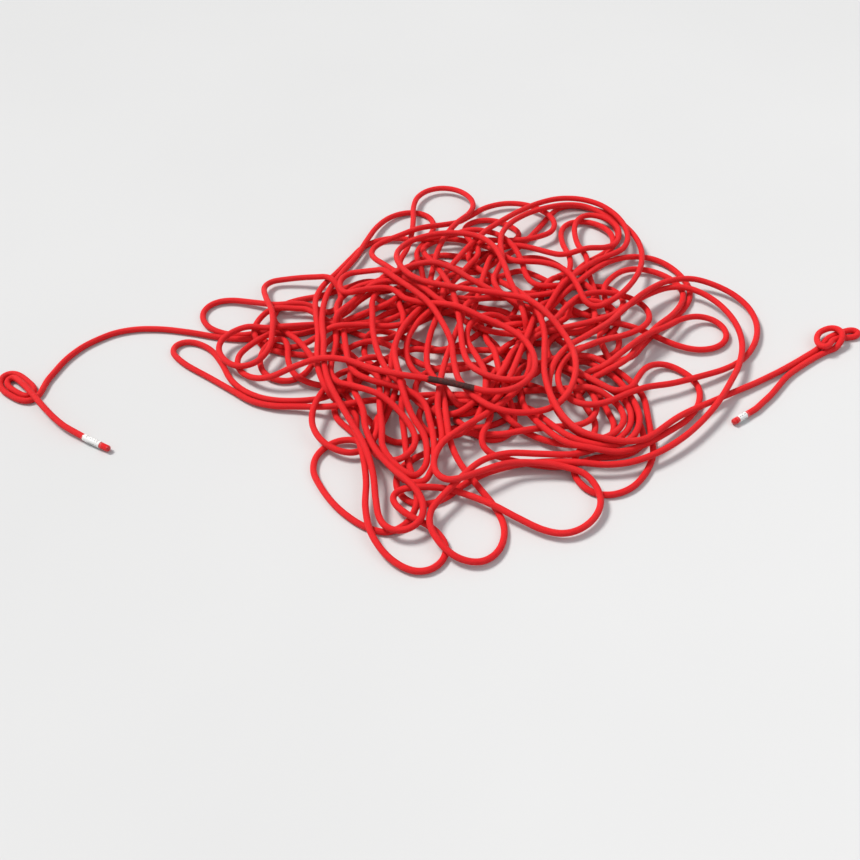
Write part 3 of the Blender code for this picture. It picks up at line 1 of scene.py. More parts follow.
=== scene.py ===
"""Looks of a climbing rope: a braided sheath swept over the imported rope's own centreline.

The rope lies on the floor (z = 0) as a heap; its two lines lead over hinges and
knots to the fitted ends A and B.  The centreline is read back from the frame's
tubes, smoothed, its turns parted until they only touch, and swept.  A station
is a length along the rope from the tip of end A.
"""
import json
import math

import bmesh
import bpy
import numpy as np
from mathutils import Matrix, Vector
from mathutils.kdtree import KDTree

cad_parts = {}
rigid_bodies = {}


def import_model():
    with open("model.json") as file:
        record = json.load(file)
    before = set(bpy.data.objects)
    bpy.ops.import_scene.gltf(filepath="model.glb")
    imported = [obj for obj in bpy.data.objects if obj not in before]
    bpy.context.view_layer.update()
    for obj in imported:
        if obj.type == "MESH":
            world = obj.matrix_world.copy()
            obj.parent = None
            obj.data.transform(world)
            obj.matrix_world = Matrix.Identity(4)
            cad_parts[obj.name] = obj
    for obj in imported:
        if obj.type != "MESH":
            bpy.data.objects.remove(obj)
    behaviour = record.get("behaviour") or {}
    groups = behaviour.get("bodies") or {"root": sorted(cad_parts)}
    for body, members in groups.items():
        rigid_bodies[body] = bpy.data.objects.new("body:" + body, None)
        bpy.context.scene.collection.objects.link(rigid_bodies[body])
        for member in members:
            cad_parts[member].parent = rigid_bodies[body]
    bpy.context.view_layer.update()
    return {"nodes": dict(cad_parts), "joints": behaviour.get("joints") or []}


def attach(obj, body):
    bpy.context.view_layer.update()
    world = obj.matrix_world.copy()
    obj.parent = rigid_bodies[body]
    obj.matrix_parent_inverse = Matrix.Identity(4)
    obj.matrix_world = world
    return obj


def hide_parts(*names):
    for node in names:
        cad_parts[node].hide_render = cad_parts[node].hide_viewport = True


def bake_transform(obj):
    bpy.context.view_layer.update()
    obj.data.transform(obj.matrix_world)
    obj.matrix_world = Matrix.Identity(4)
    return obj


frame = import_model()
NODES = frame["nodes"]
JOINTS = {joint["name"]: joint for joint in frame["joints"]}
# the two hinges of line B, from the heap outward
NEAR_B, FAR_B = "lift_b", "swing_b"
if JOINTS["lift_b"]["parent"] != "heap":
    NEAR_B, FAR_B = FAR_B, NEAR_B

RADIUS = 0.0050            # of the sheath
DIAMETER = 2 * RADIUS      # also the centre distance of two touching turns
CARRIERS = 18              # yarns of the sheath running each way round
PICK = 0.00185             # length of one braid cell along the rope

# reading the frame's tubes
WELD = 3e-5                # corners closer than this are one
SAME_SIZE = 4e-5           # slack on a ring's diameter
SAME_MIDDLE = 6e-5         # slack on a ring's centre
STRAND_CORNERS = 4
SHARP = 0.45               # face angle (radians) of a strand's long edges
AHEAD = 0.45               # least cosine between one long edge and the next
TIP_PAST_CORE = 0.0041     # from the core's end to the tip
WIDEST_GAP = 0.006         # allowed between neighbouring tubes

# the curve
NODE_GAP = 0.0028          # closer curve nodes are merged
LINE_STEP = 0.008          # while the turns settle
CURVE_STEP = 0.002         # of the finished curve
NEIGHBOUR_LENGTH = 0.026   # rope this near along the line is not tested for touching

# the sheath pieces
SIDES = 16
END_SIDES = 24
HEAP_STEP = 0.0042
FINE_STEP = 0.002
END_STEP = 0.0012
MARK_MARGIN = 0.004        # finely ringed sheath past each end of the middle mark
BEND_REACH = 0.022         # how far a bend reaches each side of its hinge
TAIL_REACH = BEND_REACH * 0.8

# the fitted ends; depths are measured inward from the tip
SHEATH_DEPTH = 0.0036
TIP_DEPTH = 0.0040
CORE_DEPTH = 0.0042
CORE_SHORT = 0.0015        # the core stops this far before the hinge
OUTER_STRANDS = 7
OUTER_STRAND_RADIUS = 0.00093
MIDDLE_STRAND_RADIUS = 0.00112
STRAND_ORBIT = 0.00235     # outer strands' distance from the axis
STRAND_TURN = 0.085        # length of one full twist
STRAND_SIDES = 10
WRAP_SIDES = 40            # label and sleeve
WRAP_WALL = 0.00016
LABEL_LIFT, LABEL_STEP = 0.00022, 0.0006
SLEEVE_LIFT, SLEEVE_STEP = 0.00024, 0.0007


# ------------------------------------------------------------ reading the tubes
def joint_place(name):
    return np.array(JOINTS[name]["pos_m"], float)


def welded(node):
    """A node's mesh with its coincident corners joined."""
    mesh = bmesh.new()
    mesh.from_mesh(NODES[node].data)
    bmesh.ops.remove_doubles(mesh, verts=mesh.verts, dist=WELD)
    return mesh


def strand_line(node, start):
    """Ring centres of a core strand, from the end nearest start."""
    mesh = welded(node)
    bmesh.ops.recalc_face_normals(mesh, faces=mesh.faces)
    mesh.verts.ensure_lookup_table()
    points = np.array([vert.co for vert in mesh.verts])
    near = [[] for _ in points]
    sharp = [[] for _ in points]
    for edge in mesh.edges:
        ends = [vert.index for vert in edge.verts]
        is_sharp = edge.calc_face_angle(0.0) > SHARP
        for i, j in (ends, ends[::-1]):
            near[i].append(j)
            if is_sharp:
                sharp[i].append(j)
    mesh.free()
    by_distance = np.argsort(np.linalg.norm(points - np.array(start), axis=1))
    cap = [int(i) for i in by_distance[:STRAND_CORNERS]]
    # where every ring is whole, the rings follow each other level by level
    level, met, centres = list(cap), set(cap), []
    while len(level) == STRAND_CORNERS:
        centres.append(points[level].mean(0))
        level = sorted({j for i in level for j in near[i]} - met)
        met |= set(level)
    if not level and len(met) == len(points):
        return np.array(centres)
    return line_from_edges(points, cap, sharp)


def line_from_edges(points, cap, sharp):
    """Centres of a strand with broken rings: the means of opposite long edges."""
    centre = points[cap].mean(0)
    ahead = np.mean([points[j] for i in cap for j in sharp[i] if j not in cap], axis=0) - centre
    ahead /= np.linalg.norm(ahead)
    # the cap's corners in turning order
    across = points[cap[0]] - centre
    across /= np.linalg.norm(across)
    above = np.cross(ahead, across)
    cap.sort(key=lambda i: math.atan2((points[i] - centre) @ above,
                                      (points[i] - centre) @ across))
    chains = []
    for corner in cap:
        chain, heading, seen = [corner], ahead, set(cap)
        while True:
            best = None
            for j in sharp[chain[-1]]:
                if j in seen:
                    continue
                way = points[j] - points[chain[-1]]
                way /= np.linalg.norm(way)
                if way @ heading > AHEAD and (best is None or way @ heading > best[0]):
                    best = (way @ heading, j, way)
            if best is None:
                break
            chain.append(best[1])
            seen.add(best[1])
            heading = best[2]
        chains.append(points[chain])

    # two opposite edges of equal count follow the tube ring by ring
    def size(i):
        return len(chains[i])

    half, every = STRAND_CORNERS // 2, range(STRAND_CORNERS)
    even = [i for i in range(half) if size(i) == size(i + half)]
    chosen = max(even or every, key=size)
    if size(chosen) < 0.9 * max(map(len, chains)):
        chosen = max(every, key=size)
    main, other = chains[chosen], chains[(chosen + half) % STRAND_CORNERS]
    if len(other) == len(main):
        return (main + other) / 2
    # otherwise each corner is paired with the nearest point of the other edge
    begin, run = other[:-1], other[1:] - other[:-1]
    centres = []
    for point in main:
        part = np.clip(((point - begin) * run).sum(1) / (run * run).sum(1), 0, 1)
        foot = begin + run * part[:, None]
        centres.append((point + foot[((foot - point) ** 2).sum(1).argmin()]) / 2)
    return np.array(centres)


def search_tree(points):
    tree = KDTree(len(points))
    for i, point in enumerate(points):
        tree.insert(point, i)
    tree.balance()
    return tree


def ring_line(node, start):
    """Ring centres of a six-cornered tube, from the end nearest start.

    Opposite corners of a ring stand one diameter apart and share their middle,
    so rings are found by their size; the tube's long edges put them in order.
    """
    mesh = welded(node)
    points = np.array([vert.co for vert in mesh.verts])
    edges = [(edge.verts[0].index, edge.verts[1].index) for edge in mesh.edges]
    mesh.free()
    tree = search_tree(points)
    pairs, middles = [], []
    for i, point in enumerate(points):
        for _, j, distance in tree.find_range(point, DIAMETER + SAME_SIZE):
            if j > i and distance > DIAMETER - SAME_SIZE:
                pairs.append((i, j))
                middles.append((points[i] + points[j]) / 2)
    tree = search_tree(middles)
    owner, centres = {}, []
    # whole rings first, then rings that lack one pair of corners
    for pairs_wanted in (3, 2):
        for i, point in enumerate(middles):
            if pairs[i][0] in owner or pairs[i][1] in owner:
                continue
            corners = set()
            for _, j, _ in tree.find_range(point, SAME_MIDDLE):
                if pairs[j][0] not in owner and pairs[j][1] not in owner:
                    corners |= set(pairs[j])
            if len(corners) >= 2 * pairs_wanted:
                for corner in corners:
                    owner[corner] = len(centres)
                centres.append(point)
    centres = np.array(centres)
    # how many edges join each two rings
    links = [{} for _ in centres]
    for edge in edges:
        i, j = (owner.get(corner) for corner in edge)
        if i is None or j is None or i == j:
            continue
        links[i][j] = links[i].get(j, 0) + 1
        links[j][i] = links[j].get(i, 0) + 1
    here = int(np.linalg.norm(centres - np.array(start), axis=1).argmin())
    order, seen = [here], {here}
    while True:
        ways = [(count, -np.linalg.norm(centres[j] - centres[here]), j)
                for j, count in links[here].items() if j not in seen]
        if not ways:
            break
        here = max(ways)[2]
        order.append(here)
        seen.add(here)
    if len(order) < 0.98 * len(centres):
        raise SystemExit("%s: only %d of %d rings in order" % (node, len(order), len(centres)))
    return centres[order]


def core_axis(side):
    """The mean of the seven turning strands is the rope's axis, from the hinge out."""
    start = joint_place("tail_lift_" + side)
    lines = [strand_line("core_%s_%d" % (side, k + 1), start) for k in range(OUTER_STRANDS)]
    if len({len(line) for line in lines}) > 1:
        raise SystemExit("core strands of unequal length")
    return np.mean(lines, axis=0)


def tip_point(axis):
    ahead = axis[-1] - axis[-2]
    ahead /= np.linalg.norm(ahead)
    return np.array([axis[-1] + ahead * TIP_PAST_CORE])


def read_rope():
    """All ring centres from tip A to tip B, and those of the middle mark."""
    axis_a, axis_b = core_axis("a"), core_axis("b")
    runs = [("tip", tip_point(axis_a)), ("end_a", axis_a[::-1])]

    def add(*nodes_and_joints):
        for node, joint in nodes_and_joints:
            runs.append((node, ring_line(node, joint_place(joint))))

    add(("tail_a", "tail_lift_a"), ("knot_a", "tail_swing_a"), ("line_a3", "knot_lift_a"),
        ("line_a2", "curl_a"), ("line_a1", "lift_a"), ("rope_run_a", "swing_a"))
    mark = ring_line("middle_mark", runs[-1][1][-1])
    runs.append(("middle_mark", mark))
    runs.append(("rope_run_b", ring_line("rope_run_b", joint_place(NEAR_B))[::-1]))
    add(("line_b1", NEAR_B), ("line_b2", FAR_B), ("knot_b", "knot_turn_b"),
        ("tail_b", "tail_swing_b"))
    runs += [("end_b", axis_b), ("tip", tip_point(axis_b))]
    for (name, line), (after, following) in zip(runs, runs[1:]):
        gap = np.linalg.norm(line[-1] - following[0])
        if gap > WIDEST_GAP:
            raise SystemExit("%s ends %.1f mm from %s" % (name, gap * 1000, after))
    return np.vstack([line for _, line in runs]), mark


# ------------------------------------------------------------ the curve
def lengths(points):
    steps = np.linalg.norm(np.diff(points, axis=0), axis=1)
    return np.concatenate([[0], np.cumsum(steps)])


def interpolate(at, along, values):
    return np.column_stack([np.interp(at, along, values[:, axis]) for axis in range(3)])


def thinned(points):
    """Close nodes at the cuts are merged so that the curve through them is calm."""
    keep = [0]
    for i in range(1, len(points)):
        if np.linalg.norm(points[i] - points[keep[-1]]) > NODE_GAP or i == len(points) - 1:
            keep.append(i)
    return points[keep]


def smooth_curve(points, step):
    """Centripetal Catmull-Rom through the points, sampled evenly."""
    padded = np.vstack([2 * points[0] - points[1], points, 2 * points[-1] - points[-2]])
    parts = []
    for i in range(1, len(padded) - 2):
        p0, p1, p2, p3 = quad = padded[i - 1:i + 3]
        knots = [max(math.sqrt(np.linalg.norm(quad[k + 1] - quad[k])), 1e-4) for k in range(3)]
        t0, t1 = 0.0, knots[0]
        t2 = t1 + knots[1]
        t3 = t2 + knots[2]
        count = max(2, int(math.ceil(np.linalg.norm(p2 - p1) / CURVE_STEP)))
        t = np.linspace(t1, t2, count, endpoint=False)[:, None]
        a1 = (t1 - t) / (t1 - t0) * p0 + (t - t0) / (t1 - t0) * p1
        a2 = (t2 - t) / (t2 - t1) * p1 + (t - t1) / (t2 - t1) * p2
        a3 = (t3 - t) / (t3 - t2) * p2 + (t - t2) / (t3 - t2) * p3
        b1 = (t2 - t) / (t2 - t0) * a1 + (t - t0) / (t2 - t0) * a2
        b2 = (t3 - t) / (t3 - t1) * a2 + (t - t1) / (t3 - t1) * a3
        parts.append((t2 - t) / (t2 - t1) * b1 + (t - t1) / (t2 - t1) * b2)
    parts.append(points[-1:])
    curve = np.vstack(parts)
    along = lengths(curve)
    count = int(round(along[-1] / step)) + 1
    return interpolate(np.linspace(0, along[-1], count), along, curve)


def near_pairs(line, reach, skip):
    """Segments that come within reach in plan, more than skip apart along the line."""
    begin, end = line[:-1, :2], line[1:, :2]
    middle = (begin + end) / 2
    half = np.hypot(*(end - begin).T) / 2
    # sort into plan cells so that only neighbours are compared
    cells = np.floor(middle / (half.max() * 2 + reach)).astype(int)
    table = {}
    for i, (x, y) in enumerate(cells):
        table.setdefault((x, y), []).append(i)
    firsts, seconds = [], []
    for (x, y), own in table.items():
        for dx, dy in ((0, 0), (1, 0), (0, 1), (1, 1), (1, -1)):
            other = table.get((x + dx, y + dy))
            if other is None:
                continue
            i, j = (grid.ravel() for grid in np.meshgrid(own, other, indexing="ij"))
            low, high = np.minimum(i, j), np.maximum(i, j)
            valid = high - low > skip
            if dx == 0 and dy == 0:
                valid &= i < j
            low, high = low[valid], high[valid]
            close = np.hypot(*(middle[low] - middle[high]).T) < half[low] + half[high] + reach
            firsts.append(low[close])
            seconds.append(high[close])
    return np.concatenate(firsts), np.concatenate(seconds)


def dot(one, two):
    return np.einsum("ij,ij->i", one, two)


def closest(line, first, second):
    """Where paired segments pass closest: the part along each, gap vector and gap."""
    run_1, run_2 = line[first + 1] - line[first], line[second + 1] - line[second]
    apart = line[first] - line[second]
    square_1, both, square_2 = dot(run_1, run_1), dot(run_1, run_2), dot(run_2, run_2)
    off_1, off_2 = dot(run_1, apart), dot(run_2, apart)
    tiny = 1e-18
    spread = np.maximum(square_1 * square_2 - both * both, tiny)
    part_1 = np.clip((both * off_2 - square_2 * off_1) / spread, 0, 1)
    part_2 = np.clip((both * part_1 + off_2) / np.maximum(square_2, tiny), 0, 1)
    part_1 = np.clip((both * part_2 - off_1) / np.maximum(square_1, tiny), 0, 1)
    gap = apart + run_1 * part_1[:, None] - run_2 * part_2[:, None]
    return part_1, part_2, gap, np.sqrt(dot(gap, gap))


def settle(line, rounds, renew=12, search=0.004, stiffness=0.3, push=1.2):
    """Part turns that cut into each other; keep the line's own shape otherwise.

    renew: rounds between searches for close pairs; search: their extra reach;
    stiffness: evening of the offsets per round; push: over-correction.
    """
    count = len(line)
    home = line.copy()
    skip = int(NEIGHBOUR_LENGTH / LINE_STEP) + 1
    for i in range(rounds):
        if i % renew == 0:
            firsts, seconds = near_pairs(line, DIAMETER + search, skip)
        offset = line - home
        eased = offset.copy()
        eased[1:-1] += stiffness * ((offset[:-2] + offset[2:]) / 2 - offset[1:-1])
        line = home + eased
        found = closest(line, firsts, seconds)
        cut = found[3] < DIAMETER
        if cut.any():
            first, second = firsts[cut], seconds[cut]
            end_1, end_2, gap, distance = (values[cut] for values in found)
            normal = gap / np.maximum(distance, 1e-9)[:, None]
            begin_1, begin_2 = 1 - end_1, 1 - end_2
            share = begin_1 * begin_1 + end_1 * end_1 + begin_2 * begin_2 + end_2 * end_2
            shift = ((DIAMETER - distance) / share)[:, None] * normal
            total, weights = np.zeros((count, 3)), np.zeros(count)
            for index, weight, sign in ((first, begin_1, 1), (first + 1, end_1, 1),
                                        (second, begin_2, -1), (second + 1, end_2, -1)):
                for axis in range(3):
                    total[:, axis] += np.bincount(index, sign * weight * shift[:, axis], count)
                weights += np.bincount(index, weight, count)
            line = line + total / np.maximum(weights, 1.0)[:, None] * push
        line[:, 2] = np.maximum(line[:, 2], RADIUS)
    return line


def calm(line, spans, most=0.0015, fade=0.02, passes=5):
    """Ease the small corners within the spans, by no more than most."""
    along = lengths(line)
    eased = line.copy()
    for _ in range(passes):
        eased[1:-1] = (eased[:-2] + 2 * eased[1:-1] + eased[2:]) / 4
    shift = eased - line
    # a six-sided tube may lie on a flat; nothing sinks below that
    lowest = RADIUS * math.cos(math.pi / 6) - 1e-4
    shift[:, 2] *= (line[:, 2] + shift[:, 2] >= lowest)
    far = np.linalg.norm(shift, axis=1)
    shift *= (np.minimum(far, most) / np.maximum(far, 1e-9))[:, None]
    weight = np.zeros(len(line))
    for low, high in spans:
        inside = np.clip(np.minimum(along - low, high - along) / fade, 0, 1)
        weight = np.maximum(weight, inside)
    return line + shift * weight[:, None]


def settled_line(nodes):
    line = smooth_curve(nodes, LINE_STEP)
    whole = lengths(line)[-1]
    # open stretches of the two lines
    line = calm(line, [(0.085, 0.255), (0.56, 0.92),
                       (whole - 0.255, whole - 0.085), (whole - 0.95, whole - 0.62)])
    fixed = line
    line = settle(line, 90)
    # the fitted ends stay where the frame has them; the change fades in past them
    still, fade = 0.10, 0.05
    along = lengths(line)
    for from_tip in (along, along[-1] - along):
        weight = np.clip((from_tip - still) / fade, 0, 1)[:, None]
        line = fixed * (1 - weight) + line * weight
    return line


def sides_along(tangents):
    """Side directions that turn no more than they must."""
    sides = np.empty_like(tangents)
    side = np.cross(tangents[0], (0, 0, 1.0))
    for i, tangent in enumerate(tangents):
        side = side - tangent * (side @ tangent)
        side /= math.sqrt(side @ side)
        sides[i] = side
    return sides


ring_centres, mark_line = read_rope()
CURVE = smooth_curve(settled_line(thinned(ring_centres)), CURVE_STEP)
STATIONS = lengths(CURVE)
TOTAL = STATIONS[-1]
TANGENT = np.gradient(CURVE, axis=0)
TANGENT /= np.linalg.norm(TANGENT, axis=1)[:, None]
SIDE = sides_along(TANGENT)
UP = np.cross(SIDE, TANGENT)


def nearest_station(point, low, high):
    inside = np.nonzero((STATIONS >= low) & (STATIONS <= high))[0]
    return float(STATIONS[inside[np.argmin(((CURVE[inside] - point) ** 2).sum(1))]])


# stations of the hinges, each looked for between two stations
BEND = {}


def find_bends(*windows):
    for joint, low, high in windows:
        BEND[joint] = nearest_station(joint_place(joint), low, high)


TAIL_LEAST = 0.03          # least length between a tail's two hinges
find_bends(("tail_lift_a", 0, 0.25), ("knot_lift_a", 0.45, 1.0), ("curl_a", 0.5, 1.2),
           ("lift_a", 0.6, 1.3), ("swing_a", 0.6, 1.4),
           ("tail_lift_b", TOTAL - 0.2, TOTAL), ("knot_turn_b", TOTAL - 1.1, TOTAL - 0.4),
           ("lift_b", TOTAL - 1.1, TOTAL - 0.4), ("swing_b", TOTAL - 1.2, TOTAL - 0.4))
find_bends(("tail_swing_a", BEND["tail_lift_a"] + TAIL_LEAST, 0.35),
           ("tail_swing_b", TOTAL - 0.3, BEND["tail_lift_b"] - TAIL_LEAST))
MARK_START, MARK_END = (nearest_station(mark_line[i], 0.3 * TOTAL, 0.7 * TOTAL)
                        for i in (0, -1))


# ------------------------------------------------------------ sweeping
def spaced(low, high, step):
    return np.linspace(low, high, max(2, int(round((high - low) / step)) + 1))


def rings(stations):
    """Centre, side and up at the given stations."""
    centre, side, up = (interpolate(stations, STATIONS, values) for values in (CURVE, SIDE, UP))
    side /= np.linalg.norm(side, axis=1)[:, None]
    up /= np.linalg.norm(up, axis=1)[:, None]
    return centre, side, up


def sweep(name, stations, sides, radius, capped=False, offset=(0.0, 0.0), dent=None):
    """A tube over the rings at the stations, with UVs (part of the way round, station).

    radius: one number or one per ring; offset: shift to the side and up, likewise;
    dent: function of (station, angle) added to the radius.
    """
    centre, side, up = rings(stations)
    sideways, upward = np.reshape(offset, (2, -1, 1))
    centre = centre + side * sideways + up * upward
    count = len(stations)
    angle = np.arange(sides) * 2 * math.pi / sides
    radii = np.broadcast_to(np.reshape(radius, (-1, 1)), (count, sides)).copy()
    if dent is not None:
        radii += dent(stations[:, None], angle[None, :])
    around = (np.cos(angle)[None, :, None] * side[:, None]
              + np.sin(angle)[None, :, None] * up[:, None])
    points = (centre[:, None] + radii[..., None] * around).reshape(-1, 3)

    i, j = np.meshgrid(np.arange(count - 1), np.arange(sides), indexing="ij")
    after = (j + 1) % sides
    quads = np.stack([i * sides + j, i * sides + after,
                      (i + 1) * sides + after, (i + 1) * sides + j], axis=-1)
    loops = quads.ravel()
    starts = np.arange(i.size) * 4
    totals = np.full(i.size, 4)
    part_round = np.stack([j, j + 1, j + 1, j], axis=-1) / sides
    station = stations[np.stack([i, i, i + 1, i + 1], axis=-1)]
    uv = np.column_stack([part_round.ravel(), station.ravel()])
    if capped:
        for ring, order in ((0, -1), (count - 1, 1)):
            starts = np.append(starts, len(loops))
            totals = np.append(totals, sides)
            loops = np.append(loops, (ring * sides + np.arange(sides))[::order])
            uv = np.vstack([uv, np.column_stack([np.linspace(0, 1, sides),
                                                 np.full(sides, stations[ring])])])
    mesh = bpy.data.meshes.new(name)
    mesh.vertices.add(len(points))
    mesh.vertices.foreach_set("co", points.ravel())
    mesh.loops.add(len(loops))
    mesh.loops.foreach_set("vertex_index", loops.astype(np.int32))
    mesh.polygons.add(len(starts))
    mesh.polygons.foreach_set("loop_start", starts.astype(np.int32))
    mesh.polygons.foreach_set("loop_total", totals.astype(np.int32))
    mesh.update(calc_edges=True)
    mesh.uv_layers.new(name="rope").data.foreach_set("uv", uv.ravel())
    mesh.polygons.foreach_set("use_smooth", np.ones(len(starts), bool))
    mesh.validate()
    work = bmesh.new()
    work.from_mesh(mesh)
    bmesh.ops.recalc_face_normals(work, faces=work.faces)
    work.to_mesh(mesh)
    work.free()
    ob = bpy.data.objects.new(name, mesh)
    bpy.context.scene.collection.objects.link(ob)
    return ob


# ------------------------------------------------------------ material tools
def operator(operation, swapped=False):
    """A Python operator between Signals that adds a Math node."""
    def apply(self, other):
        return self.net.math(operation, *((other, self) if swapped else (self, other)))
    return apply


class Signal:
    """A shader output that can be calculated with."""

    def __init__(self, net, socket):
        self.net, self.socket = net, socket

    __add__, __radd__ = operator("ADD"), operator("ADD", swapped=True)
    __sub__, __rsub__ = operator("SUBTRACT"), operator("SUBTRACT", swapped=True)
    __mul__ = operator("MULTIPLY")
    __truediv__ = operator("DIVIDE")
    __mod__ = operator("FLOORED_MODULO")
    __pow__ = operator("POWER")
    __gt__ = operator("GREATER_THAN")
    __lt__ = operator("LESS_THAN")

    def __abs__(self):
        return self.net.math("ABSOLUTE", self)


class Net:
    """A material and a short way to write its nodes.  Colours are linear RGB."""

    def __init__(self, name):
        self.material = bpy.data.materials.new(name)
        self.material.use_nodes = True
        self.tree = self.material.node_tree
        self.shader = self.tree.nodes["Principled BSDF"]
        self.place = Signal(self, self.node("ShaderNodeTexCoord").outputs["Object"])

    def node(self, kind, **settings):
        node = self.tree.nodes.new(kind)
        for key, value in settings.items():
            setattr(node, key, value)
        return node

    def feed(self, socket, value):
        if isinstance(value, Signal):
            self.tree.links.new(value.socket, socket)
        else:
            socket.default_value = (*value, 1) if isinstance(value, tuple) else value

    def math(self, operation, *values):
        node = self.node("ShaderNodeMath", operation=operation)
        for socket, value in zip(node.inputs, values):
            self.feed(socket, value)
        return Signal(self, node.outputs[0])

    def mix(self, amount, base, over):
        node = self.node("ShaderNodeMix", data_type="RGBA")
        for i, value in ((0, amount), (6, base), (7, over)):
            self.feed(node.inputs[i], value)
        return Signal(self, node.outputs[2])

    def noise(self, scale, detail):
        node = self.node("ShaderNodeTexNoise")
        self.feed(node.inputs["Scale"], scale)
        self.feed(node.inputs["Detail"], detail)
        self.feed(node.inputs["Roughness"], 0.55)
        self.feed(node.inputs["Vector"], self.place)
        return Signal(self, node.outputs["Fac"])

    def cell_noise(self, column, row):
        """One random value for each cell of a grid."""
        node = self.node("ShaderNodeTexWhiteNoise", noise_dimensions="2D")
        cell = self.node("ShaderNodeCombineXYZ")
        self.feed(cell.inputs[0], column)
        self.feed(cell.inputs[1], row)
        self.tree.links.new(cell.outputs[0], node.inputs["Vector"])
        return Signal(self, node.outputs["Value"])

    def ramp(self, value, low, high):
        """A soft step from 0 at low to 1 at high."""
        node = self.node("ShaderNodeMapRange", interpolation_type="SMOOTHSTEP")
        for i, given in enumerate((value, low, high)):
            self.feed(node.inputs[i], given)
        return Signal(self, node.outputs[0])

    def rope_coords(self):
        """Part of the way round, and station."""
        uv = self.node("ShaderNodeUVMap", uv_map="rope")
        split = self.node("ShaderNodeSeparateXYZ")
        self.tree.links.new(uv.outputs[0], split.inputs[0])
        return Signal(self, split.outputs[0]), Signal(self, split.outputs[1])

    def bump(self, height, strength, distance):
        node = self.node("ShaderNodeBump")
        self.feed(node.inputs["Strength"], strength)
        self.feed(node.inputs["Distance"], distance)
        self.feed(node.inputs["Height"], height)
        self.tree.links.new(node.outputs[0], self.shader.inputs["Normal"])

    def surface(self, **inputs):
        for name, value in inputs.items():
            label = name.replace("_", " ").title().replace("Ior", "IOR")
            self.feed(self.shader.inputs[label], value)


# ------------------------------------------------------------ materials
def braid(net):
    """Height of the braid, its filaments, the two yarn counts and the station."""
    turn, station = net.rope_coords()
    one = turn * CARRIERS + station * (1 / PICK)
    two = turn * CARRIERS - station * (1 / PICK)
    part_1, part_2 = net.math("FRACT", one), net.math("FRACT", two)
    yarn_1, yarn_2 = net.math("FLOOR", one), net.math("FLOOR", two)
    top = (yarn_1 + yarn_2) % 2.0 > 0.5
    arch_1 = net.math("SINE", part_1 * math.pi)
    arch_2 = net.math("SINE", part_2 * math.pi)
    # across the top yarn the profile is round, along it the yarn dips under at each end
    across, along = 0.6, 0.35
    profile_1 = arch_1 ** across * arch_2 ** along
    profile_2 = arch_2 ** across * arch_1 ** along
    height = profile_1 * top + profile_2 * (1.0 - top)
    # three fine filaments along each yarn
    filaments = net.math("SINE", (part_1 * top + part_2 * (1.0 - top)) * (6 * math.pi))
    return height, filaments, yarn_1, yarn_2, station


def sheath_material():
    """Red braided nylon, soaked with dark ink at the middle mark."""
    net = Net("red_braid")
    height, filaments, yarn_1, yarn_2, station = braid(net)
    # patch to patch and yarn to yarn variation
    patch = net.ramp(net.noise(scale=14.0, detail=4.0), low=0.30, high=0.75)
    fine = net.noise(scale=420.0, detail=2.0)
    base = net.mix(patch, base=(0.88, 0.009, 0.014), over=(0.95, 0.017, 0.020))
    base = net.mix(net.cell_noise(yarn_1, yarn_2) * 0.26, base, over=(0.78, 0.010, 0.013))
    # painted shade: the gaps between yarns are darkened where shade falls in them
    gap_shade = (1.0 - net.ramp(height, low=0.05, high=0.78)) * 0.62
    base = net.mix(gap_shade, base, over=(0.34, 0.003, 0.007))
    # pale dust and rub on the crests, in patches; partly a painted highlight on the braid's
    # crests
    crests = net.ramp(height, low=0.45, high=1.0) * 0.16
    dust_rub_and_highlight = net.ramp(net.noise(scale=5.5, detail=5.0), low=0.52, high=0.80) * crests
    base = net.mix(dust_rub_and_highlight, base, over=(0.90, 0.22, 0.19))
    soil = net.ramp(net.noise(scale=9.0, detail=5.0), low=0.56, high=0.82) * 0.18
    base = net.mix(soil, base, over=(0.33, 0.03, 0.03))
    # the ink, with wavering soft edges and worn spots
    waver, soft = 0.010, 0.0012
    along = station + (net.noise(scale=260.0, detail=3.0) - 0.5) * waver
    inked = (net.ramp(along, MARK_START - soft, MARK_START + soft)
             * (1.0 - net.ramp(along, MARK_END - soft, MARK_END + soft)))
    left = 1.0 - net.ramp(net.noise(scale=120.0, detail=4.0), low=0.45, high=0.8) * 0.20
    ink = net.mix(net.ramp(fine, low=0.3, high=0.7),
                  base=(0.032, 0.014, 0.013), over=(0.080, 0.026, 0.023))
    base = net.mix(inked * left, base, over=ink)
    net.surface(base_color=base, roughness=0.50 + fine * 0.22, sheen_weight=0.07,
                sheen_roughness=0.45, sheen_tint=(1.0, 0.30, 0.26), specular_ior_level=0.24)
    net.bump(height + filaments * 0.10 + fine * 0.12, strength=0.95, distance=0.00040)
    return net.material


def core_material():
    """White twisted strands."""
    net = Net("core_strand")
    turn, station = net.rope_coords()

    def twist(around, per_metre):
        return net.math("SINE", (turn * around + station * per_metre) * (2 * math.pi))

    plies = twist(around=3.0, per_metre=260.0)
    filaments = twist(around=14.0, per_metre=900.0)
    # painted shade: the white darkens to grey in the grooves between plies, where the bump is
    # low
    base = net.mix(net.ramp(plies, low=-1.0, high=0.6),
                   base=(0.60, 0.59, 0.55), over=(0.90, 0.90, 0.86))
    base = net.mix(net.noise(scale=300.0, detail=3.0) * 0.25, base, over=(0.75, 0.70, 0.60))
    net.surface(base_color=base, roughness=0.62, sheen_weight=0.4)
    net.bump(plies + filaments * 0.25, strength=0.8, distance=0.00025)
    return net.material


def tape_material():
    """Blue tracer tape."""
    net = Net("tracer_tape")
    grain = net.noise(scale=900.0, detail=2.0)
    base = net.mix(net.ramp(grain, low=0.35, high=0.65),
                   base=(0.03, 0.10, 0.42), over=(0.09, 0.24, 0.66))
    net.surface(base_color=base, roughness=0.25 + grain * 0.2)
    net.bump(grain, strength=0.3, distance=0.0001)
    return net.material


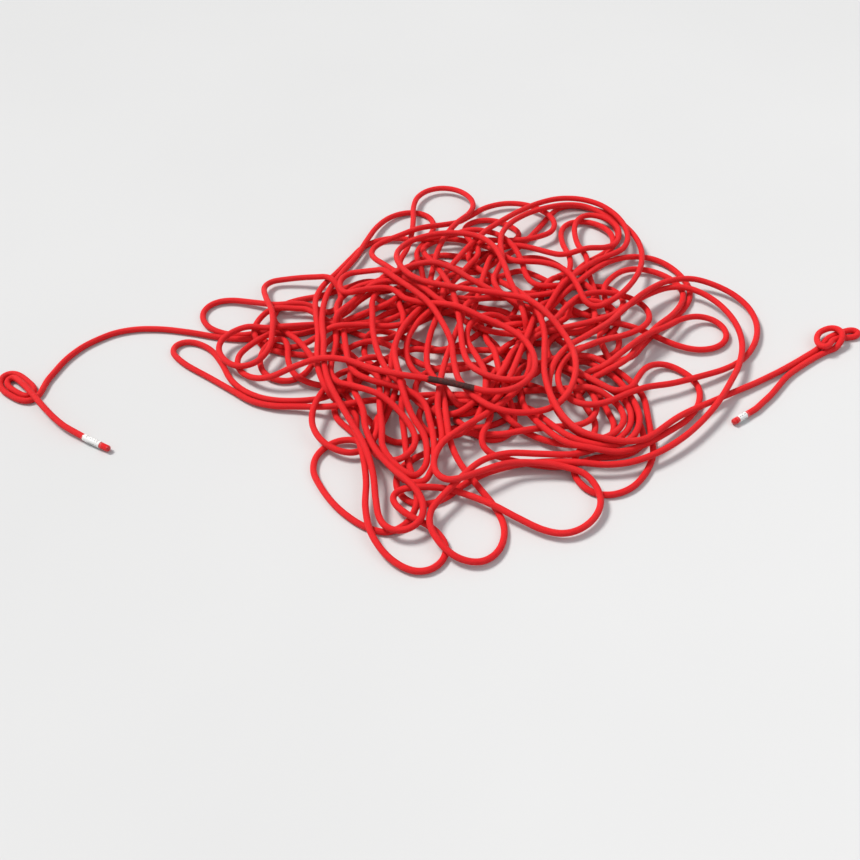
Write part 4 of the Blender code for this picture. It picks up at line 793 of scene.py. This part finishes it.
def label_material(name, low, high):
    """White wrapped band with rows of plain dark bars, yellowed a little at the edges."""
    bar_pitch, rows_round, blank_share = 0.0017, 9.0, 0.42
    bar_half, row_half, print_half = 0.33, 0.24, 0.38     # parts of pitch, row and band
    net = Net(name)
    turn, station = net.rope_coords()
    part = (station - low) / (high - low)
    columns = (station - low) * (1 / bar_pitch)
    rows = turn * rows_round
    cell = net.cell_noise(net.math("FLOOR", columns), net.math("FLOOR", rows))
    printed = cell > blank_share
    bar = ((abs(net.math("FRACT", columns) - 0.5) < bar_half)
           * (abs(net.math("FRACT", rows) - 0.5) < row_half))
    # every third row is left blank
    used_row = net.math("FLOOR", rows) % 3.0 > 0.5
    inside = abs(part - 0.5) < print_half
    bar = (bar * printed) * (used_row * inside)
    edge = 1.0 - net.ramp(abs(abs(part - 0.5) - 0.5), low=0.0, high=0.06)
    base = net.mix(net.ramp(net.noise(scale=160.0, detail=4.0), low=0.35, high=0.75),
                   base=(0.86, 0.855, 0.835), over=(0.78, 0.765, 0.73))
    base = net.mix(edge * 0.35, base, over=(0.60, 0.50, 0.44))
    base = net.mix(bar * 0.92, base, over=(0.045, 0.045, 0.05))
    net.surface(base_color=base, roughness=0.38 + net.noise(scale=300.0, detail=2.0) * 0.2)
    net.bump(net.noise(scale=500.0, detail=3.0), strength=0.25, distance=0.0002)
    return net.material


def sleeve_material():
    """Thin clear shrink tube, slightly wrinkled and scuffed."""
    net = Net("clear_sleeve")
    wrinkles = net.noise(scale=240.0, detail=3.0)
    scuff = net.ramp(net.noise(scale=520.0, detail=4.0), low=0.52, high=0.75)
    base = net.mix(scuff, base=(0.97, 0.97, 0.96), over=(0.85, 0.85, 0.84))
    net.surface(base_color=base, roughness=0.10 + scuff * 0.30, ior=1.46, coat_weight=0.4)
    net.bump(wrinkles, strength=0.35, distance=0.0004)
    # mostly see-through, more solid at grazing angles and on scuffs
    clear = net.node("ShaderNodeBsdfTransparent")
    grazing = net.node("ShaderNodeLayerWeight")
    net.feed(grazing.inputs[0], 0.35)
    facing = Signal(net, grazing.outputs["Facing"])
    solid = net.math("MINIMUM", facing ** 3.0 * 0.30 + (0.025 + scuff * 0.03), 0.5)
    blend = net.node("ShaderNodeMixShader")
    net.feed(blend.inputs[0], solid)
    links = net.tree.links
    links.new(clear.outputs[0], blend.inputs[1])
    links.new(net.shader.outputs[0], blend.inputs[2])
    links.new(blend.outputs[0], net.tree.nodes["Material Output"].inputs["Surface"])
    return net.material


def tip_material():
    """Melted red nylon with dark blotches."""
    net = Net("melted_tip")
    blotches = net.noise(scale=650.0, detail=4.0)
    base = net.mix(net.ramp(blotches, low=0.40, high=0.72),
                   base=(0.72, 0.014, 0.016), over=(0.34, 0.008, 0.010))
    net.surface(base_color=base, roughness=0.22 + blotches * 0.25)
    net.bump(blotches, strength=0.6, distance=0.0006)
    return net.material


RED = sheath_material()
CORE = core_material()
TAPE = tape_material()
SLEEVE = sleeve_material()
TIP = tip_material()


def dress(ob, material, node=None, body=None):
    """Give a piece its material and slot, the node it replaces and the body it rides."""
    ob.data.materials.append(material)
    if node:
        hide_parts(node)
    if body:
        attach(ob, body)


# ------------------------------------------------------------ heap and lines
def stiff_piece(name, body, low, high, node, step=FINE_STEP):
    dress(sweep(name, spaced(low, high, step), SIDES, RADIUS), RED, node, body)


def bend_piece(name, joint, low, high, node=None):
    """Sheath over one hinge, from low to high; it stays fixed in the world."""
    ob = sweep(name, spaced(low, high, FINE_STEP), SIDES, RADIUS)
    dress(ob, RED, node)
    # end A's bodies run toward smaller stations
    reach = -BEND_REACH if joint.endswith("_a") else BEND_REACH
    begin, end = (interpolate([BEND[joint] + shift], STATIONS, CURVE)[0].tolist()
                  for shift in (-reach, reach))
    parent, child = JOINTS[joint]["parent"], JOINTS[joint]["child"]
    if joint == FAR_B:      # the same bend, told from its other end
        parent, child, begin, end = child, parent, end, begin
    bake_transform(ob)


def between(one, two):
    return (BEND[one] + BEND[two]) / 2


mark_low, mark_high = MARK_START - MARK_MARGIN, MARK_END + MARK_MARGIN
stiff_piece("sheath_run_a", "heap", BEND["swing_a"] + BEND_REACH, mark_low,
            "rope_run_a", step=HEAP_STEP)
stiff_piece("sheath_middle_mark", "heap", mark_low, mark_high, "middle_mark")
stiff_piece("sheath_run_b", "heap", mark_high, BEND[NEAR_B] - BEND_REACH,
            "rope_run_b", step=HEAP_STEP)

# line A, from the heap outward
swing_lift = between("swing_a", "lift_a")
lift_curl = between("lift_a", "curl_a")
curl_knot = between("curl_a", "knot_lift_a")
knot_start = BEND["knot_lift_a"] - BEND_REACH
knot_end = BEND["tail_swing_a"] + TAIL_REACH
tail = between("tail_swing_a", "tail_lift_a")
bend_piece("bend_swing_a", "swing_a", swing_lift, BEND["swing_a"] + BEND_REACH, "line_a1")
bend_piece("bend_lift_a", "lift_a", lift_curl, swing_lift, "line_a2")
bend_piece("bend_curl_a", "curl_a", curl_knot, lift_curl, "line_a3")
bend_piece("bend_knot_a", "knot_lift_a", knot_start, curl_knot)
stiff_piece("sheath_knot_a", "knot_a", knot_end, knot_start, "knot_a")
bend_piece("bend_tail_a", "tail_swing_a", tail, knot_end, "tail_a")
bend_piece("bend_end_a", "tail_lift_a", BEND["tail_lift_a"] - BEND_REACH, tail)

# line B, from the heap outward
near_far = between(NEAR_B, FAR_B)
far_knot = between(FAR_B, "knot_turn_b")
knot_start = BEND["knot_turn_b"] + BEND_REACH
knot_end = BEND["tail_swing_b"] - TAIL_REACH
tail = between("tail_swing_b", "tail_lift_b")
bend_piece("bend_" + NEAR_B, NEAR_B, BEND[NEAR_B] - BEND_REACH, near_far, "line_b1")
bend_piece("bend_" + FAR_B, FAR_B, near_far, far_knot, "line_b2")
bend_piece("bend_knot_b", "knot_turn_b", far_knot, knot_start)
stiff_piece("sheath_knot_b", "knot_b", knot_start, knot_end, "knot_b")
bend_piece("bend_tail_b", "tail_swing_b", knot_end, tail, "tail_b")
bend_piece("bend_end_b", "tail_lift_b", tail, BEND["tail_lift_b"] + BEND_REACH)


# ------------------------------------------------------------ fitted ends
def ripple(station, angle, height, around, per_metre):
    return height * np.sin(angle * around + station * per_metre)


def tip_dent(station, angle):
    # two crossed waves
    return (ripple(station, angle, 0.00012, around=3, per_metre=1900)
            * np.cos(angle * 5 - station * 2600))


def label_dent(station, angle):
    return (ripple(station, angle, 0.00006, around=2, per_metre=420)
            + ripple(station, angle, 0.00005, around=0, per_metre=2100))


def sleeve_dent(label_low, label_high, rise=0.00028, soft=0.0006):
    """The sleeve hugs the label and necks down on the bare sheath."""
    def dent(station, angle):
        over_label = (1 / (1 + np.exp(-(station - label_low) / soft))
                      / (1 + np.exp((station - label_high) / soft)))
        return (rise * over_label
                + ripple(station, angle, 0.00005, around=3, per_metre=700)
                + ripple(station, angle, 0.00004, around=0, per_metre=1500))
    return dent


def add_wall(ob):
    wall = ob.modifiers.new("wall", "SOLIDIFY")
    wall.thickness = WRAP_WALL
    wall.offset = 1


class FittedEnd:
    """One end of the rope, from its hinge to its tip."""

    def __init__(self, side, bend, tip):
        self.side, self.body = side, "end_" + side
        self.bend, self.tip = bend, tip
        self.outward = 1.0 if tip > bend else -1.0
        self.length = abs(tip - bend)

    def at(self, depth):
        return self.tip - self.outward * depth

    def span(self, near, far):
        return spaced(*sorted((self.at(near), self.at(far))), END_STEP)

    def extent(self, node):
        """First and last station that a node covers."""
        points = np.array([vert.co for vert in NODES[node].data.vertices])
        low, high = sorted((self.bend, self.tip))
        inside = np.nonzero((STATIONS > low) & (STATIONS < high))[0]
        nearest = ((points[:, None] - CURVE[inside][None]) ** 2).sum(2).argmin(1)
        covered = STATIONS[inside][nearest]
        return float(covered.min()), float(covered.max())

    def sheath(self):
        stations = self.span(SHEATH_DEPTH, self.length - BEND_REACH)
        ob = sweep("sheath_end_" + self.side, stations, END_SIDES, RADIUS)
        dress(ob, RED, "sheath_" + self.side, self.body)

    def melted_tip(self):
        """A rounded cap, a little proud of the sheath where it starts."""
        part = np.linspace(0, 1, 14)
        stations = self.at(TIP_DEPTH) + self.outward * TIP_DEPTH * part
        bluntness, closing, proud = 2.6, 0.985, 1.012
        radii = RADIUS * np.sqrt(np.clip(1 - (part * closing) ** bluntness, 0, 1))
        radii[0] = RADIUS * proud
        if self.outward < 0:
            stations, radii = stations[::-1], radii[::-1]
        ob = sweep("melted_tip_" + self.side, stations, END_SIDES, radii,
                   capped=True, dent=tip_dent)
        dress(ob, TIP, "tip_" + self.side, self.body)

    def label_and_sleeve(self):
        """Both as long as the frame has them."""
        label, sleeve = "label_" + self.side, "sleeve_" + self.side
        low, high = self.extent(label)
        ob = sweep("label_band_" + self.side, spaced(low, high, LABEL_STEP), WRAP_SIDES,
                   RADIUS + LABEL_LIFT, dent=label_dent)
        add_wall(ob)
        dress(ob, label_material("label_print_" + self.side, low, high),
              label, self.body)
        ob = sweep("shrink_" + sleeve, spaced(*self.extent(sleeve), SLEEVE_STEP), WRAP_SIDES,
                   RADIUS + SLEEVE_LIFT, dent=sleeve_dent(low, high))
        add_wall(ob)
        dress(ob, SLEEVE, sleeve, self.body)

    def strand(self, key, stations, radius, offset=(0.0, 0.0)):
        name = "%s_%s" % (self.side, key)
        ob = sweep("core_strand_" + name, stations, STRAND_SIDES, radius, True, offset)
        dress(ob, CORE, "core_" + name, self.body)

    def core(self):
        """Outer strands twisted round a middle one."""
        stations = self.span(CORE_DEPTH, self.length - CORE_SHORT)
        self.strand("mid", stations, MIDDLE_STRAND_RADIUS)
        for k in range(OUTER_STRANDS):
            turns = (stations - stations[0]) / STRAND_TURN + k / OUTER_STRANDS
            angle = 2 * math.pi * turns
            self.strand(k + 1, stations, OUTER_STRAND_RADIUS,
                        (STRAND_ORBIT * np.cos(angle), STRAND_ORBIT * np.sin(angle)))

    def tape(self):
        """The frame's own tape stays and takes the tape material."""
        materials = NODES["tape_" + self.side].data.materials
        materials.clear()
        materials.append(TAPE)


for side, tip in (("a", 0.0), ("b", TOTAL)):
    end = FittedEnd(side, BEND["tail_lift_" + side], tip)
    end.sheath()
    end.melted_tip()
    end.label_and_sleeve()
    end.core()
    end.tape()


# ------------------------------------------------------------ stage, light, camera
def add_floor():
    bpy.ops.mesh.primitive_plane_add(size=80, location=(0, 0, 0))
    floor = bpy.context.object
    floor.name = "floor"
    net = Net("floor_pale")
    tone = net.ramp(net.noise(scale=1.2, detail=3.0), low=0.2, high=0.8)
    net.surface(base_color=net.mix(tone, base=(0.61, 0.61, 0.605), over=(0.63, 0.63, 0.625)),
                roughness=0.9)
    floor.data.materials.append(net.material)


def add_world(colour, light, seen):
    """Soft light from all round; seen directly, the backdrop is as pale as the floor."""
    world = bpy.data.worlds.new("studio")
    bpy.context.scene.world = world
    world.use_nodes = True
    tree = world.node_tree
    background = tree.nodes["Background"]
    background.inputs[0].default_value = (*colour, 1)
    path = tree.nodes.new("ShaderNodeLightPath")
    power = tree.nodes.new("ShaderNodeMapRange")
    power.inputs[3].default_value = light
    power.inputs[4].default_value = seen
    tree.links.new(path.outputs["Is Camera Ray"], power.inputs[0])
    tree.links.new(power.outputs[0], background.inputs[1])


def add_object(name, data):
    ob = bpy.data.objects.new(name, data)
    bpy.context.scene.collection.objects.link(ob)
    return ob


def add_lamp(name, kind, place, energy, colour, **shape):
    """A lamp facing the heap."""
    light = bpy.data.lights.new(name, kind)
    light.energy = energy
    light.color = colour
    for key, value in shape.items():
        setattr(light, key, value)
    ob = add_object(name, light)
    ob.location = place
    ob.rotation_euler = (-Vector(place)).to_track_quat("-Z", "Y").to_euler()


def add_camera(eye, up_seen, lens):
    """up_seen is world up in the camera's own axes (right, down, forward)."""
    z = np.array(up_seen)
    z /= np.linalg.norm(z)
    forward = np.array([0, 0, 1.0])
    y = forward - (forward @ z) * z
    y /= np.linalg.norm(y)
    x = np.cross(y, z)
    camera = bpy.data.cameras.new("photo_camera")
    camera.sensor_width = 36.0
    camera.lens = lens
    ob = add_object("photo_camera", camera)
    # Blender's camera has up and backward where these axes have down and forward
    turn = Matrix([(axis * (1, -1, -1)).tolist() for axis in (x, y, z)]).to_4x4()
    ob.matrix_world = Matrix.Translation(Vector(eye)) @ turn
    bpy.context.scene.camera = ob


add_floor()
add_world(colour=(0.93, 0.95, 1.0), light=0.50, seen=0.84)
bpy.context.scene.view_settings.view_transform = "Standard"
add_lamp("key", "SUN", place=(-1.9, 1.2, 3.0), energy=3.15, colour=(1.0, 0.985, 0.96),
         angle=math.radians(17))
add_lamp("fill", "AREA", place=(1.8, -1.2, 2.0), energy=12, colour=(0.95, 0.97, 1.0),
         shape="DISK", size=2.2)
add_camera(eye=(-0.008288, -1.546508, 1.363),
           up_seen=(-0.02525215, -0.70824233, -0.70551764), lens=52.4218605)
